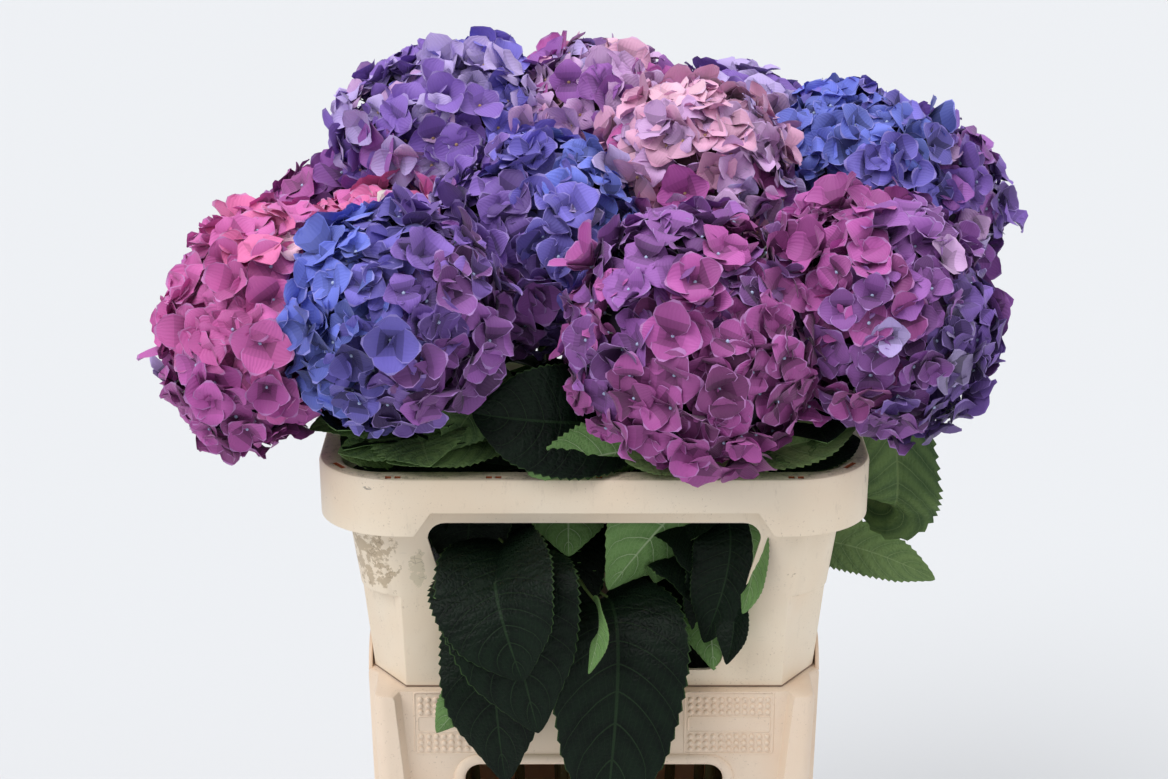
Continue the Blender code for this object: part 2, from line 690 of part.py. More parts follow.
def leaf_body(base, bend, tip, width, face, swell=0.0):
    """A thin lens-shaped leaf with its rib on a bent curve, a keel below and edges lifted."""
    thickness = LEAF_THICKNESS / 2 + swell
    points = []
    for share in (0.0, *LEAF_STATIONS, 1.0):
        rib = base * (1 - share) ** 2 + bend * (2 * share * (1 - share)) + tip * share ** 2
        along = ((bend - base) * (1 - share) + (tip - bend) * share).normalized()
        aside = along.cross(face).normalized()
        normal = aside.cross(along)
        if share in (0.0, 1.0):
            points.append(rib - along * swell if share == 0.0 else rib + along * swell)
            continue
        reach = width / 2 * leaf_width(share) + swell
        lift = normal * (reach * LEAF_EDGE_LIFT)
        points += [rib + aside * reach + lift, rib + normal * thickness,
                   rib - aside * reach + lift, rib - normal * thickness]
    faces = []
    last = len(points) - 1
    for k in range(4):
        following = (k + 1) % 4
        faces.append((0, 1 + k, 1 + following))
        faces.append((last, last - 4 + following, last - 4 + k))
        for station in range(len(LEAF_STATIONS) - 1):
            here = 1 + 4 * station
            faces.append((here + k, here + 4 + k, here + 4 + following, here + following))
    return points, faces


def in_a_bloom(point, clearance):
    """Whether a point lies in the space of any bloom."""
    for bloom in BLOOMS:
        arm = point - Vector(bloom.centre)
        distance = arm.length
        if distance < bloom.radius + clearance and distance < dome_reach(bloom, arm / distance) + clearance:
            return True
    return False


def in_bounds(point):
    """Whether a leaf's point keeps inside the collar, or to the strip above its rim."""
    if point.z < LEAF_LOWEST:
        return False
    if point.z > RIM_TOP + OVER_RIM[2]:
        return abs(point.x) < OVER_RIM[0] and abs(point.y) < OVER_RIM[1]
    return abs(point.x) < INSIDE_COLLAR[0] and abs(point.y) < INSIDE_COLLAR[1]


def tree_of(points, faces):
    """A search tree over one closed shape."""
    return BVHTree.FromPolygons([tuple(point) for point in points], faces)


def tree_of_object(thing):
    """A search tree over an object as its modifiers leave it."""
    return BVHTree.FromObject(thing, bpy.context.evaluated_depsgraph_get())


def ruled_leaves(bloom, chance):
    """Leaves in opposite pairs, each pair a quarter turn round from the one below."""
    path = stem_path(bloom)
    for level, height in enumerate(LEAF_NODES):
        if height > path[-1].z - 0.01:
            continue
        place, along = point_at_height(path, height)
        for side in (0, 1):
            turn = radians(bloom.azimuth) + pi / 2 * level + pi * side + chance.uniform(-0.3, 0.3)
            tries = []
            for scale in LEAF_SCALES:
                for aside in LEAF_TURNS:
                    for rise in LEAF_RISES:
                        tries.append((turn + aside, rise, scale))
            yield place, tries


def leaf_from_rule(place, turn, rise, scale):
    """The rib and face of a leaf that leaves its stem at a turn and a slope, and arches over."""
    out = Vector((sin(turn), -cos(turn), 0))
    length, width = LEAF_SIZE[0] * scale, LEAF_SIZE[1] * scale
    base = place + (out + Vector((0, 0, rise / 2))) * LEAF_START
    bend = base + (out + Vector((0, 0, rise))).normalized() * length / 2
    tip = bend + (out + Vector((0, 0, rise - LEAF_DROOP))).normalized() * length / 2
    face = Vector((-rise / 2 * out.x, -rise / 2 * out.y, 1.0)).normalized()
    return base, bend, tip, width, face


def petiole(place, base, into):
    """The leaf's stalk, sunk in the stem at one end and in the blade at the other."""
    end = base.lerp(into, PETIOLE_SINK)
    return limb([place, end], (PETIOLE_RADIUS, PETIOLE_RADIUS * PETIOLE_TAPER), 4)


def grow_leaves(twigs, solids):
    """Give each twig the leaves that show, then by rule those that keep clear of everything."""
    fixed = [tree_of_object(thing) for thing in solids]
    trees = {name: [tree_of(*shape)] for name, shape in twigs.items()}
    grown = {name: [] for name in twigs}
    by_name = {bloom.name: bloom for bloom in BLOOMS}

    def blocked(name, shapes):
        others = [tree for other, list_of in trees.items() if other != name for tree in list_of]
        for shape in shapes:
            tree = tree_of(*shape)
            if any(tree.overlap(other) for other in fixed + others):
                return True
        return False

    def add(name, place, leaf):
        base, bend, tip, width, face = leaf
        shapes = [leaf_body(base, bend, tip, width, face), petiole(place, base, bend)]
        grown[name] += shapes
        trees[name] += [tree_of(*shape) for shape in shapes]

    for leaf in SHOWN_LEAVES:
        place = point_at_height(stem_path(by_name[leaf.stem]), leaf.height)[0]
        base, bend, tip = Vector(leaf.base), Vector(leaf.bend), Vector(leaf.tip)
        shape = (base, bend, tip, leaf.width, Vector(leaf.face).normalized())
        fat = [leaf_body(*shape, swell=LEAF_CLEARANCE), petiole(place, base, bend)]
        if blocked(leaf.stem, fat):
            print("shown leaf left out:", leaf.stem, leaf.height)
            continue
        add(leaf.stem, place, shape)
    for number, bloom in enumerate(BLOOMS):
        chance = random.Random(400 + number)
        for place, tries in ruled_leaves(bloom, chance):
            for turn, rise, scale in tries:
                shape = leaf_from_rule(place, turn, rise, scale)
                fat = [leaf_body(*shape, swell=LEAF_CLEARANCE), petiole(place, shape[0], shape[1])]
                if not all(in_bounds(point) and not in_a_bloom(point, BLOOM_CLEAR) for point in fat[0][0]):
                    continue
                if blocked(bloom.name, fat):
                    continue
                add(bloom.name, place, shape)
                break
    return grown


def nudged(shape, chance):
    """A closed shape moved by a hair, so that no two of its neighbours' edges fall together."""
    points, faces = shape
    step = Vector([chance.uniform(-NUDGE, NUDGE) for _ in range(3)])
    return [point + step for point in points], faces


def make_foliage(name, twig, leaves, seed):
    """One stem's leafy stretch, fused with its leaves into a sound body."""
    for attempt in range(TRIES):
        chance = random.Random(seed + attempt * len(BLOOMS))
        body = solid(name, *twig)
        join_solids(body, [nudged(shape, chance) for shape in leaves])
        if is_sound(body.data):
            return body
        bpy.data.objects.remove(body)
    raise RuntimeError("no sound body for " + name)


def build():
    """Make every part, each with its own finish."""
    start_empty()
    plastic = (0.74, 0.58, 0.46)
    collar = make_collar()
    collar.data.materials.append(finish_of("collar", plastic, 0.45))
    bucket = make_bucket()
    bucket.data.materials.append(finish_of("bucket", plastic, 0.45))
    stems = []
    for bloom in BLOOMS:
        stem = make_stem(bloom)
        stem.data.materials.append(finish_of(stem.name, (0.16, 0.20, 0.06), 0.6))
        stems.append(stem)
    blooms = [make_bloom(bloom, 100 + number) for number, bloom in enumerate(BLOOMS)]
    twigs = {bloom.name: leafy_limb(bloom) for bloom in BLOOMS}
    grown = grow_leaves(twigs, [collar, bucket] + stems + blooms)
    for number, bloom in enumerate(BLOOMS):
        foliage = make_foliage("leaves_" + bloom.name, twigs[bloom.name], grown[bloom.name], 700 + number)
        foliage.data.materials.clear()
        foliage.data.materials.append(finish_of(foliage.name, (0.03, 0.09, 0.03), 0.5))


build()
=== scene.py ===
"""Cut hydrangeas standing in a flower bucket with an extension collar.

Metres, +Z up, -Y is the front, and the origin is under the middle of the bucket's flat foot.
"""

from collections import namedtuple
from math import atan2, cos, pi, radians, sin, sqrt, tan
import random

import bmesh
import bpy
from mathutils import Matrix, Vector
from mathutils.bvhtree import BVHTree
import numpy as np


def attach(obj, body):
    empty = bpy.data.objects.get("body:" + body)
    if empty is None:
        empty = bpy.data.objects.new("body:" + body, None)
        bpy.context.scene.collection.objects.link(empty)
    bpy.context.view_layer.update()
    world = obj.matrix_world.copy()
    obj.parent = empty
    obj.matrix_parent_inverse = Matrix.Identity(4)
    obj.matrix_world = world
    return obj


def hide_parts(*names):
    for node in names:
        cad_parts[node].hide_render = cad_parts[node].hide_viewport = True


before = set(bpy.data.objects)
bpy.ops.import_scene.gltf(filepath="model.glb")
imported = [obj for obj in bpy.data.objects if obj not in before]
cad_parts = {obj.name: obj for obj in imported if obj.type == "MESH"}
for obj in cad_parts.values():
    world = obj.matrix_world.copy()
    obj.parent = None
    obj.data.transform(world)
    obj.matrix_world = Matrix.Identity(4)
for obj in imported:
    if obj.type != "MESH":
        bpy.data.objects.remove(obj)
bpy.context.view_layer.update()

# The collar is a moulded polypropylene extension that lengthens the bucket for tall flowers.
# A flat rim carries a deep skirt that is notched at the front and back. The walls taper to a
# spigot, change from round to cut corners at a step, and have one window each.
RIM_HALF = (0.2043, 0.152)
RIM_CORNER = 0.062
RIM_TOP = 0.5386
RIM_ROUND = ((0.0035, 0.0), (0.0012, 0.0009), (0.0, 0.0035))
SKIRT_DEPTH = 0.0441
SKIRT_WALL = 0.0025
SKIRT_DRAFT = 0.0008
NOTCH_HEIGHT = 0.0181
NOTCH_HALF = (0.119, 0.132)
COLLAR_WALL = 0.003
LIP_ROUND = (0.001, 0.0008)
BODY_TOP_HALF = (0.1895, 0.137)
BODY_TAPER = (0.14, 0.1145)
BODY_CORNER = 0.036
STEP_HEIGHT = 0.4382
STEP_RUN = 0.0015
STEP_CUT = (0.0314, 0.0405)
FOOT_HALF = (0.1680, 0.1139)
FOOT_CUT = (0.0263, 0.0405)
WINDOW_BOTTOM = 0.374
WINDOW_TOP = 0.4981
FRONT_WINDOW = (0.0965, 0.1225)
SIDE_WINDOW = (0.055, 0.078)
WINDOW_CORNER = 0.013
WINDOW_REACH = (0.145, 0.195)
NOTCH_REACH = (0.1440, 0.1535)
COLLAR_FOOT = 0.3595
SPIGOT_HALF = (0.1510, 0.1050)
SPIGOT_DEPTH = 0.020
SPIGOT_CUT = (0.022, 0.022)
CORNER_POINTS = 15
CORNER_EASE = 0.0018
RIM_SLOTS = (-0.1458, -0.0729, 0.0, 0.0729, 0.1458)
RIM_SLOT_HALF = (0.0022, 0.0022)
RIM_SLOT_APART = 0.0068
RIM_SLOT_INSET = 0.0055
CORNER_SLOT_TURNS = (34, 146, 214, 326)
CORNER_SLOT_HALF = (0.0018, 0.0070)
CORNER_SLOT_INSET = 0.0080
SLOT_DEPTH = 0.0018
SLOT_SPARE = 0.004
COLLAR_EDGE = 0.0007


def round_corner(half, radius):
    """A quarter of a rounded rectangle: an arc of that radius about the corner's middle."""
    turn = np.linspace(0, pi / 2, CORNER_POINTS)
    return np.stack([half[0] - radius + radius * np.cos(turn),
                     half[1] - radius + radius * np.sin(turn)], axis=1)


def cut_corner(half, size, ease=CORNER_EASE):
    """A quarter of a rectangle with its corner cut off, the two ends of the cut eased by arcs."""
    slope = atan2(size[0], size[1])
    first = np.linspace(0, slope, CORNER_POINTS // 2)
    last = np.linspace(slope, pi / 2, CORNER_POINTS - CORNER_POINTS // 2)
    low_middle = half[1] - size[1] - ease * tan(slope / 2)
    high_middle = half[0] - size[0] - ease * tan(pi / 4 - slope / 2)
    low = np.stack([half[0] - ease + ease * np.cos(first), low_middle + ease * np.sin(first)], axis=1)
    high = np.stack([high_middle + ease * np.cos(last), half[1] - ease + ease * np.sin(last)], axis=1)
    return np.concatenate([low, high])


def full_ring(quarter, z):
    """A quarter outline (n, 2) mirrored into all four quarters, as points (4n, 3) at one height."""
    back = quarter[::-1]
    outline = np.concatenate([quarter, back * (-1, 1), quarter * (-1, -1), back * (1, -1)])
    return np.column_stack([outline, np.full(len(outline), z)])


def ring_faces(rings, count, closed):
    """Quads between neighbouring rings of points, the last ring joined to the first if closed."""
    low = np.arange(rings if closed else rings - 1)[:, None] * count
    high = (low + count) % (rings * count)
    here = np.arange(count)[None, :]
    following = (here + 1) % count
    quads = np.stack([low + here, low + following, high + following, high + here], axis=-1)
    return quads.reshape(-1, 4)


def new_piece(name, points, faces, smooth=40):
    """An object with points (n, 3) and faces of corner numbers, smooth below that angle."""
    mesh = bpy.data.meshes.new(name)
    mesh.from_pydata(np.asarray(points).tolist(), [], [tuple(face) for face in faces])
    mesh.shade_smooth()
    mesh.set_sharp_from_angle(angle=radians(smooth))
    piece = bpy.data.objects.new(name, mesh)
    bpy.context.scene.collection.objects.link(piece)
    return piece


def face_outwards(piece):
    """Turn every face of a closed shell outwards."""
    work = bmesh.new()
    work.from_mesh(piece.data)
    bmesh.ops.recalc_face_normals(work, faces=work.faces)
    work.to_mesh(piece.data)
    work.free()


def lofted(name, rings, closed):
    """A piece through rings of points, a ring of rings if closed and capped at both ends if not."""
    count = len(rings[0])
    faces = [tuple(face) for face in ring_faces(len(rings), count, closed)]
    if not closed:
        faces.append(tuple(range(count)))
        faces.append(tuple(range(len(rings) * count - count, len(rings) * count)))
    piece = new_piece(name, np.concatenate(rings), faces)
    face_outwards(piece)
    return piece


def window_outline(half_low, half_high, low, high, radius, steps=7):
    """Points (n, 2) of an opening that widens upwards, with an arc of that radius at each corner."""
    corners = ((half_low, low, -90, -1, 1), (half_high, high, 0, -1, -1),
               (-half_high, high, 90, 1, -1), (-half_low, low, 180, 1, 1))
    turns = np.radians(np.linspace(0, 90, steps))
    outline = []
    for across, up, start, side, rise in corners:
        turn = turns + radians(start)
        outline.append(np.stack([across + side * radius + radius * np.cos(turn),
                                 up + rise * radius + radius * np.sin(turn)], axis=1))
    return np.concatenate(outline)


def upright_prism(name, outline, near, far, along_x=False):
    """An upright outline (n, 2) pushed from near to far along Y, or along X."""
    rings = []
    for reach in (near, far):
        depth = np.full(len(outline), reach)
        level = [depth, outline[:, 0]] if along_x else [outline[:, 0], depth]
        rings.append(np.column_stack([*level, outline[:, 1]]))
    return lofted(name, rings, False)


def block(name, low, high):
    """A rectangular cutter between two corners."""
    outline = np.array([(low[0], low[2]), (high[0], low[2]), (high[0], high[2]), (low[0], high[2])])
    return upright_prism(name, outline, low[1], high[1])


def carve(piece, cutters):
    """Take the cutters out of a piece for good; their finish shows on the faces they leave."""
    for cutter in cutters:
        modifier = piece.modifiers.new("carve", "BOOLEAN")
        modifier.operation = "DIFFERENCE"
        modifier.solver = "EXACT"
        modifier.material_mode = "TRANSFER"
        modifier.object = cutter
    carved = bpy.data.meshes.new_from_object(piece.evaluated_get(bpy.context.evaluated_depsgraph_get()))
    piece.modifiers.clear()
    piece.data = carved
    for cutter in cutters:
        bpy.data.objects.remove(cutter)


def soften(piece, width, segments=2, angle=35):
    """Round the moulded edges that are sharper than the angle."""
    bevel = piece.modifiers.new("moulded_edges", "BEVEL")
    bevel.width = width
    bevel.segments = segments
    bevel.limit_method = "ANGLE"
    bevel.angle_limit = radians(angle)
    bevel.use_clamp_overlap = True


def wall_half(z, inset=0.0):
    """Half width and half depth of the tapering wall: both shrink in proportion to the drop."""
    drop = RIM_TOP - z
    return smaller([top - drop * taper for top, taper in zip(BODY_TOP_HALF, BODY_TAPER)], inset)


def smaller(half, amount):
    """Both half sizes less one amount."""
    return half[0] - amount, half[1] - amount


def fill_sockets(tree, made, sockets):
    """Give a node its sockets as (name or number, value, plain colour or output)."""
    for key, value in sockets:
        socket = made.inputs[key]
        if isinstance(value, bpy.types.NodeSocket):
            tree.links.new(value, socket)
        else:
            socket.default_value = (*value, 1.0) if socket.type == "RGBA" else value


def node(tree, kind, sockets=(), **settings):
    """A shader node with settings, and its sockets filled."""
    made = tree.nodes.new(kind)
    for key, value in settings.items():
        setattr(made, key, value)
    fill_sockets(tree, made, sockets)
    return made


def calc(tree, operation, first, second=0.0, third=0.0):
    """The output of one sum or comparison on numbers or outputs."""
    made = node(tree, "ShaderNodeMath", ((0, first), (1, second), (2, third)), operation=operation)
    return made.outputs[0]


def ramp(tree, value, low, high, to_low=0.0, to_high=1.0):
    """A value carried smoothly from one range to another."""
    made = node(tree, "ShaderNodeMapRange", (("Value", value), ("From Min", low), ("From Max", high),
                                             ("To Min", to_low), ("To Max", to_high)),
                interpolation_type="SMOOTHSTEP")
    return made.outputs["Result"]


def blend_colour(tree, share, first, second):
    """Two colours mixed by a share."""
    made = node(tree, "ShaderNodeMix", (("Factor", share), (6, first), (7, second)), data_type="RGBA")
    return made.outputs[2]


def noise(tree, where, scale, detail=3.0, roughness=0.5, stretch=None):
    """Soft noise on a position, in cycles per metre, drawn out along the axes if stretched."""
    if stretch:
        where = node(tree, "ShaderNodeMapping", (("Vector", where), ("Scale", stretch))).outputs[0]
    made = node(tree, "ShaderNodeTexNoise", (("Vector", where), ("Scale", scale), ("Detail", detail),
                                             ("Roughness", roughness)))
    return made.outputs["Fac"]


def bump(tree, height, distance, strength=1.0):
    """A surface normal that follows a height."""
    made = node(tree, "ShaderNodeBump", (("Height", height), ("Distance", distance),
                                         ("Strength", strength)))
    return made.outputs[0]


def cell_edges(tree, where, scale):
    """How far a position is from the nearest edge between irregular cells."""
    made = node(tree, "ShaderNodeTexVoronoi", (("Vector", where), ("Scale", scale)),
                feature="DISTANCE_TO_EDGE")
    return made.outputs["Distance"]


def new_finish(name):
    """A material with its Principled shader and node tree."""
    material = bpy.data.materials.new(name)
    material.use_nodes = True
    return material, material.node_tree, material.node_tree.nodes["Principled BSDF"]


def scuffed_plastic(name, clean, warm, stained):
    """Matte moulded plastic: faint clouds of colour, grime in the pores, and grey scuff lines."""
    material, tree, shader = new_finish(name)
    here = node(tree, "ShaderNodeTexCoord").outputs["Object"]
    clouds = ramp(tree, noise(tree, here, 14.0, 3.0), 0.35, 0.7)
    colour = blend_colour(tree, clouds, clean, warm)
    specks = ramp(tree, noise(tree, here, 520.0, 2.0, 0.6), 0.62, 0.74, 0.0, 0.36)
    patches = ramp(tree, noise(tree, here, 22.0, 4.0, 0.7), 0.42, 0.60)
    colour = blend_colour(tree, calc(tree, "MULTIPLY", specks, patches), colour, (0.30, 0.20, 0.12))
    smudges = ramp(tree, noise(tree, here, 1.0, 5.0, 0.75, (150.0, 150.0, 55.0)), 0.56, 0.74, 0.0, 0.20)
    colour = blend_colour(tree, smudges, colour, (0.40, 0.30, 0.21))
    streaks = noise(tree, here, 1.0, 4.0, 0.65, (60.0, 60.0, 900.0))
    scratches = ramp(tree, streaks, 0.66, 0.76, 0.0, 0.30)
    colour = blend_colour(tree, scratches, colour, (0.36, 0.28, 0.22))
    if stained:
        colour = stains(tree, here, colour)
    rough = ramp(tree, noise(tree, here, 35.0, 4.0), 0.3, 0.7, 0.40, 0.56)
    grain = bump(tree, noise(tree, here, 900.0, 2.0), 0.00008, 0.5)
    fill_sockets(tree, shader, (("Base Color", colour), ("Roughness", rough), ("Metallic", 0.0),
                                ("Specular IOR Level", 0.35), ("Normal", grain)))
    return material


# Middle, half sizes, level of the noise that shows, and colour of each stain
STAIN_PLACES = (
    ((-0.163, -0.118, 0.466), (0.030, 0.050, 0.042), 0.455, (0.46, 0.35, 0.22)),
    ((-0.1305, -0.128, 0.461), (0.0085, 0.030, 0.019), 0.36, (0.66, 0.57, 0.41)),
    ((-0.163, -0.150, 0.531), (0.007, 0.010, 0.0025), 0.42, (0.20, 0.17, 0.15)),
    ((0.020, -0.152, 0.519), (0.012, 0.006, 0.0035), 0.60, (0.50, 0.39, 0.27)),
    ((0.146, -0.132, 0.455), (0.006, 0.020, 0.004), 0.50, (0.44, 0.32, 0.20)),
)


def stains(tree, here, colour):
    """Old glue and mud in ragged flakes at a few places, a painted shadow line along the collar's foot,
    and a dark worn line along the rim's top.
    """
    spot = node(tree, "ShaderNodeSeparateXYZ", (("Vector", here),))
    flakes = noise(tree, here, 110.0, 6.0, 0.68)
    cracks = calc(tree, "MULTIPLY", ramp(tree, cell_edges(tree, here, 210.0), 0.07, 0.02),
                  ramp(tree, noise(tree, here, 90.0, 3.0), 0.48, 0.58, 0.0, 0.6))
    above_step = ramp(tree, spot.outputs["Z"], STEP_HEIGHT - 0.0015, STEP_HEIGHT)
    for place, size, level, stain in STAIN_PLACES:
        away = node(tree, "ShaderNodeVectorMath", ((0, here), (1, place)), operation="SUBTRACT").outputs[0]
        scaled = node(tree, "ShaderNodeVectorMath", ((0, away), (1, size)), operation="DIVIDE").outputs[0]
        distance = node(tree, "ShaderNodeVectorMath", ((0, scaled),), operation="LENGTH").outputs["Value"]
        near = ramp(tree, distance, 1.25, 0.45)
        ragged = calc(tree, "MULTIPLY_ADD", near, 0.35, flakes)
        ragged = ramp(tree, ragged, level + 0.36, level + 0.42, 0.0, 0.72)
        inside = calc(tree, "MULTIPLY", above_step, ramp(tree, near, 0.02, 0.15))
        ragged = calc(tree, "MULTIPLY", ragged, inside)
        colour = blend_colour(tree, ragged, colour, stain)
        colour = blend_colour(tree, calc(tree, "MULTIPLY", ragged, cracks), colour, (0.22, 0.15, 0.10))
    # Painted shadow: the collar's lowest millimetres are darkened to a brown line where the gap over the
    # bucket lies in shade.
    seam_shadow = ramp(tree, spot.outputs["Z"], COLLAR_FOOT + 0.0018, COLLAR_FOOT + 0.0008, 0.0, 0.85)
    colour = blend_colour(tree, seam_shadow, colour, (0.13, 0.055, 0.030))
    top = ramp(tree, spot.outputs["Z"], RIM_TOP - 0.0007, RIM_TOP - 0.0001)
    worn = ramp(tree, noise(tree, here, 150.0, 5.0, 0.8), 0.46, 0.66, 0.0, 0.55)
    colour = blend_colour(tree, calc(tree, "MULTIPLY", top, worn), colour, (0.23, 0.175, 0.12))
    corner = calc(tree, "MULTIPLY", ramp(tree, spot.outputs["X"], 0.194, 0.206),
                  ramp(tree, spot.outputs["Y"], -0.080, -0.105))
    scrape = ramp(tree, noise(tree, here, 1.0, 4.0, 0.7, (500.0, 60.0, 90.0)), 0.55, 0.62, 0.0, 0.6)
    rub = calc(tree, "MULTIPLY", corner, scrape)
    high = ramp(tree, spot.outputs["Z"], RIM_TOP - 0.034, RIM_TOP - 0.018)
    return blend_colour(tree, calc(tree, "MULTIPLY", rub, high), colour, (0.10, 0.085, 0.075))


def flat_finish(name, colour, roughness):
    """One even colour over a fine grain of bumps."""
    material, tree, shader = new_finish(name)
    here = node(tree, "ShaderNodeTexCoord").outputs["Object"]
    grain = bump(tree, noise(tree, here, 700.0), 0.0001, 0.4)
    fill_sockets(tree, shader, (("Base Color", colour), ("Roughness", roughness), ("Normal", grain)))
    return material


collar_plastic = scuffed_plastic("collar_plastic", (0.90, 0.775, 0.61), (0.88, 0.725, 0.55), True)
# Painted shade: the faces of the rim's small slot pockets are a dark red brown that stands for the shadow
# inside them.
pocket_painted_shade = flat_finish("pocket_painted_shade", (0.42, 0.11, 0.035), 0.6)

skirt_low = RIM_TOP - SKIRT_DEPTH
skirt_inset = SKIRT_DRAFT + SKIRT_WALL
rim_under = RIM_TOP - SKIRT_WALL
step_low = STEP_HEIGHT - STEP_RUN
spigot_low = COLLAR_FOOT - SPIGOT_DEPTH
inner_corner = BODY_CORNER - COLLAR_WALL
rim_steps = [(inset, RIM_TOP - drop) for inset, drop in RIM_ROUND]
rim_steps += [(SKIRT_DRAFT, skirt_low), (skirt_inset, skirt_low), (SKIRT_WALL, rim_under)]
collar_rings = [full_ring(round_corner(smaller(RIM_HALF, inset), RIM_CORNER - inset), z)
                for inset, z in rim_steps]
collar_rings += [full_ring(quarter(half, corner), z) for quarter, half, corner, z in (
    (round_corner, wall_half(rim_under), BODY_CORNER, rim_under),
    (round_corner, wall_half(STEP_HEIGHT), BODY_CORNER, STEP_HEIGHT),
    (cut_corner, wall_half(step_low), STEP_CUT, step_low),
    (cut_corner, FOOT_HALF, FOOT_CUT, COLLAR_FOOT),
    (cut_corner, SPIGOT_HALF, SPIGOT_CUT, COLLAR_FOOT),
    (cut_corner, smaller(SPIGOT_HALF, SKIRT_DRAFT), SPIGOT_CUT, spigot_low),
    (cut_corner, smaller(SPIGOT_HALF, COLLAR_WALL), SPIGOT_CUT, spigot_low),
    (cut_corner, smaller(SPIGOT_HALF, COLLAR_WALL), SPIGOT_CUT, COLLAR_FOOT + COLLAR_WALL),
    (cut_corner, smaller(FOOT_HALF, COLLAR_WALL), FOOT_CUT, COLLAR_FOOT + 2 * COLLAR_WALL),
    (cut_corner, wall_half(step_low, COLLAR_WALL), STEP_CUT, step_low - COLLAR_WALL),
    (round_corner, wall_half(STEP_HEIGHT, COLLAR_WALL), BODY_CORNER, STEP_HEIGHT - COLLAR_WALL),
    (round_corner, wall_half(RIM_TOP, COLLAR_WALL), inner_corner, RIM_TOP - LIP_ROUND[1]),
    (round_corner, wall_half(RIM_TOP, COLLAR_WALL - LIP_ROUND[0]), inner_corner, RIM_TOP),
)]
collar = lofted("collar_shell", collar_rings, True)
collar.data.materials.append(collar_plastic)

front_opening = window_outline(*FRONT_WINDOW, WINDOW_BOTTOM, WINDOW_TOP, WINDOW_CORNER)
side_opening = window_outline(*SIDE_WINDOW, WINDOW_BOTTOM, WINDOW_TOP, WINDOW_CORNER)
notch = np.array([(-NOTCH_HALF[1], skirt_low - 0.001), (NOTCH_HALF[1], skirt_low - 0.001),
                  (NOTCH_HALF[0], skirt_low + NOTCH_HEIGHT), (-NOTCH_HALF[0], skirt_low + NOTCH_HEIGHT)])
cutters = [
    upright_prism("front_openings", front_opening, -WINDOW_REACH[0], WINDOW_REACH[0]),
    upright_prism("side_openings", side_opening, -WINDOW_REACH[1], WINDOW_REACH[1], True),
    upright_prism("front_notch", notch, -NOTCH_REACH[1], -NOTCH_REACH[0]),
    upright_prism("back_notch", notch, NOTCH_REACH[0], NOTCH_REACH[1]),
]
for cutter in cutters:
    cutter.data.materials.append(collar_plastic)
places = [(RIM_SLOT_HALF, middle + offset, side * (RIM_HALF[1] - RIM_SLOT_INSET), 0) for side in (-1, 1)
          for middle in RIM_SLOTS for offset in (-RIM_SLOT_APART / 2, RIM_SLOT_APART / 2)]
for turn in CORNER_SLOT_TURNS:
    out = np.array([cos(radians(turn)), sin(radians(turn))])
    x, y = np.sign(out) * (np.array(RIM_HALF) - RIM_CORNER) + out * (RIM_CORNER - CORNER_SLOT_INSET)
    places.append((CORNER_SLOT_HALF, x, y, turn))
for (half_wide, half_deep), x, y, turn in places:
    pocket = block("pocket", (-half_wide, -half_deep, -SLOT_DEPTH), (half_wide, half_deep, SLOT_SPARE))
    pocket.data.transform(Matrix.Translation((x, y, RIM_TOP)) @ Matrix.Rotation(radians(turn), 4, "Z"))
    pocket.data.materials.append(pocket_painted_shade)
    cutters.append(pocket)
carve(collar, cutters)
soften(collar, COLLAR_EDGE)
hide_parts("collar")
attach(collar, "root")

# The bucket is moulded in the same plastic, a little warmer. Hollow columns stand at its corners
# and the front and back are sunk between them. Under the rim these carry two places for labels,
# edged with rows of small bumps, and lower down a hand slot with a soft raised edge.
BUCKET_TOP = 0.3592
BUCKET_FLANGE = 0.005
BUCKET_FLOOR = 0.004
BUCKET_WALL = 0.003
FOOT_EDGE = 0.003
MOUTH_HALF = (0.1520, 0.1060)
MOUTH_CUT = (0.0225, 0.0225)
COLUMN_HALF = ((0.1660, 0.132), (0.154, 0.118))
COLUMN_ROUND = 0.0095
COLUMN_FLANK = 0.004
PANEL_HALF_WIDTH = (0.1500, 0.118)
PANEL_PLANE = (0.121, 0.104)
SIDE_HALF_WIDTH = (0.082, 0.078)
SIDE_PLANE = (0.1732, 0.164)
GRIP_RISE = 0.022
GRIP_SHORT = 0.005
GRIP_FALL = 0.020
GRIP_EDGE = (0.0006, 0.0012)
HAND_SLOT_HALF = 0.098
HAND_SLOT = (0.252, 0.297)
HAND_SLOT_ROUND = 0.012
HAND_SLOT_REACH = 0.15
BUCKET_EDGE = 0.0011
BUMP_PITCH = (0.0058, 0.00535)
BUMP_COUNT = (11, 3)
BUMP_RADIUS = 0.0022
BUMP_SHARES = np.array([1.0, 0.93, 0.62, 0.0])
BUMP_RISES = np.array([-0.0003, 0.0007, 0.0014, 0.0016])
BUMP_SIDES = 14
LABEL_MIDDLE = 0.102
LABEL_PLATE = (0.3065, 0.3577)
LABEL_HALF = 0.0335
LABEL_FIELD = (0.3247, 0.3375)
LABEL_FIELD_HALF = 0.0310
LABEL_ROUND = 0.002
BUMPS_FROM = (0.3102, 0.3412)
SLOT_EDGE = 0.0045
BUCKET_RINGS = ((0.0, FOOT_EDGE), (FOOT_EDGE, 0.0), (0.12, 0.0), (0.24, 0.0),
                (BUCKET_TOP - 0.004, 0.0), (BUCKET_TOP - 0.0012, 0.0010), (BUCKET_TOP, 0.0032))


def between(ends, share):
    """The value that a share of the way leads to, from the first end to the second."""
    return ends[0] + (ends[1] - ends[0]) * share


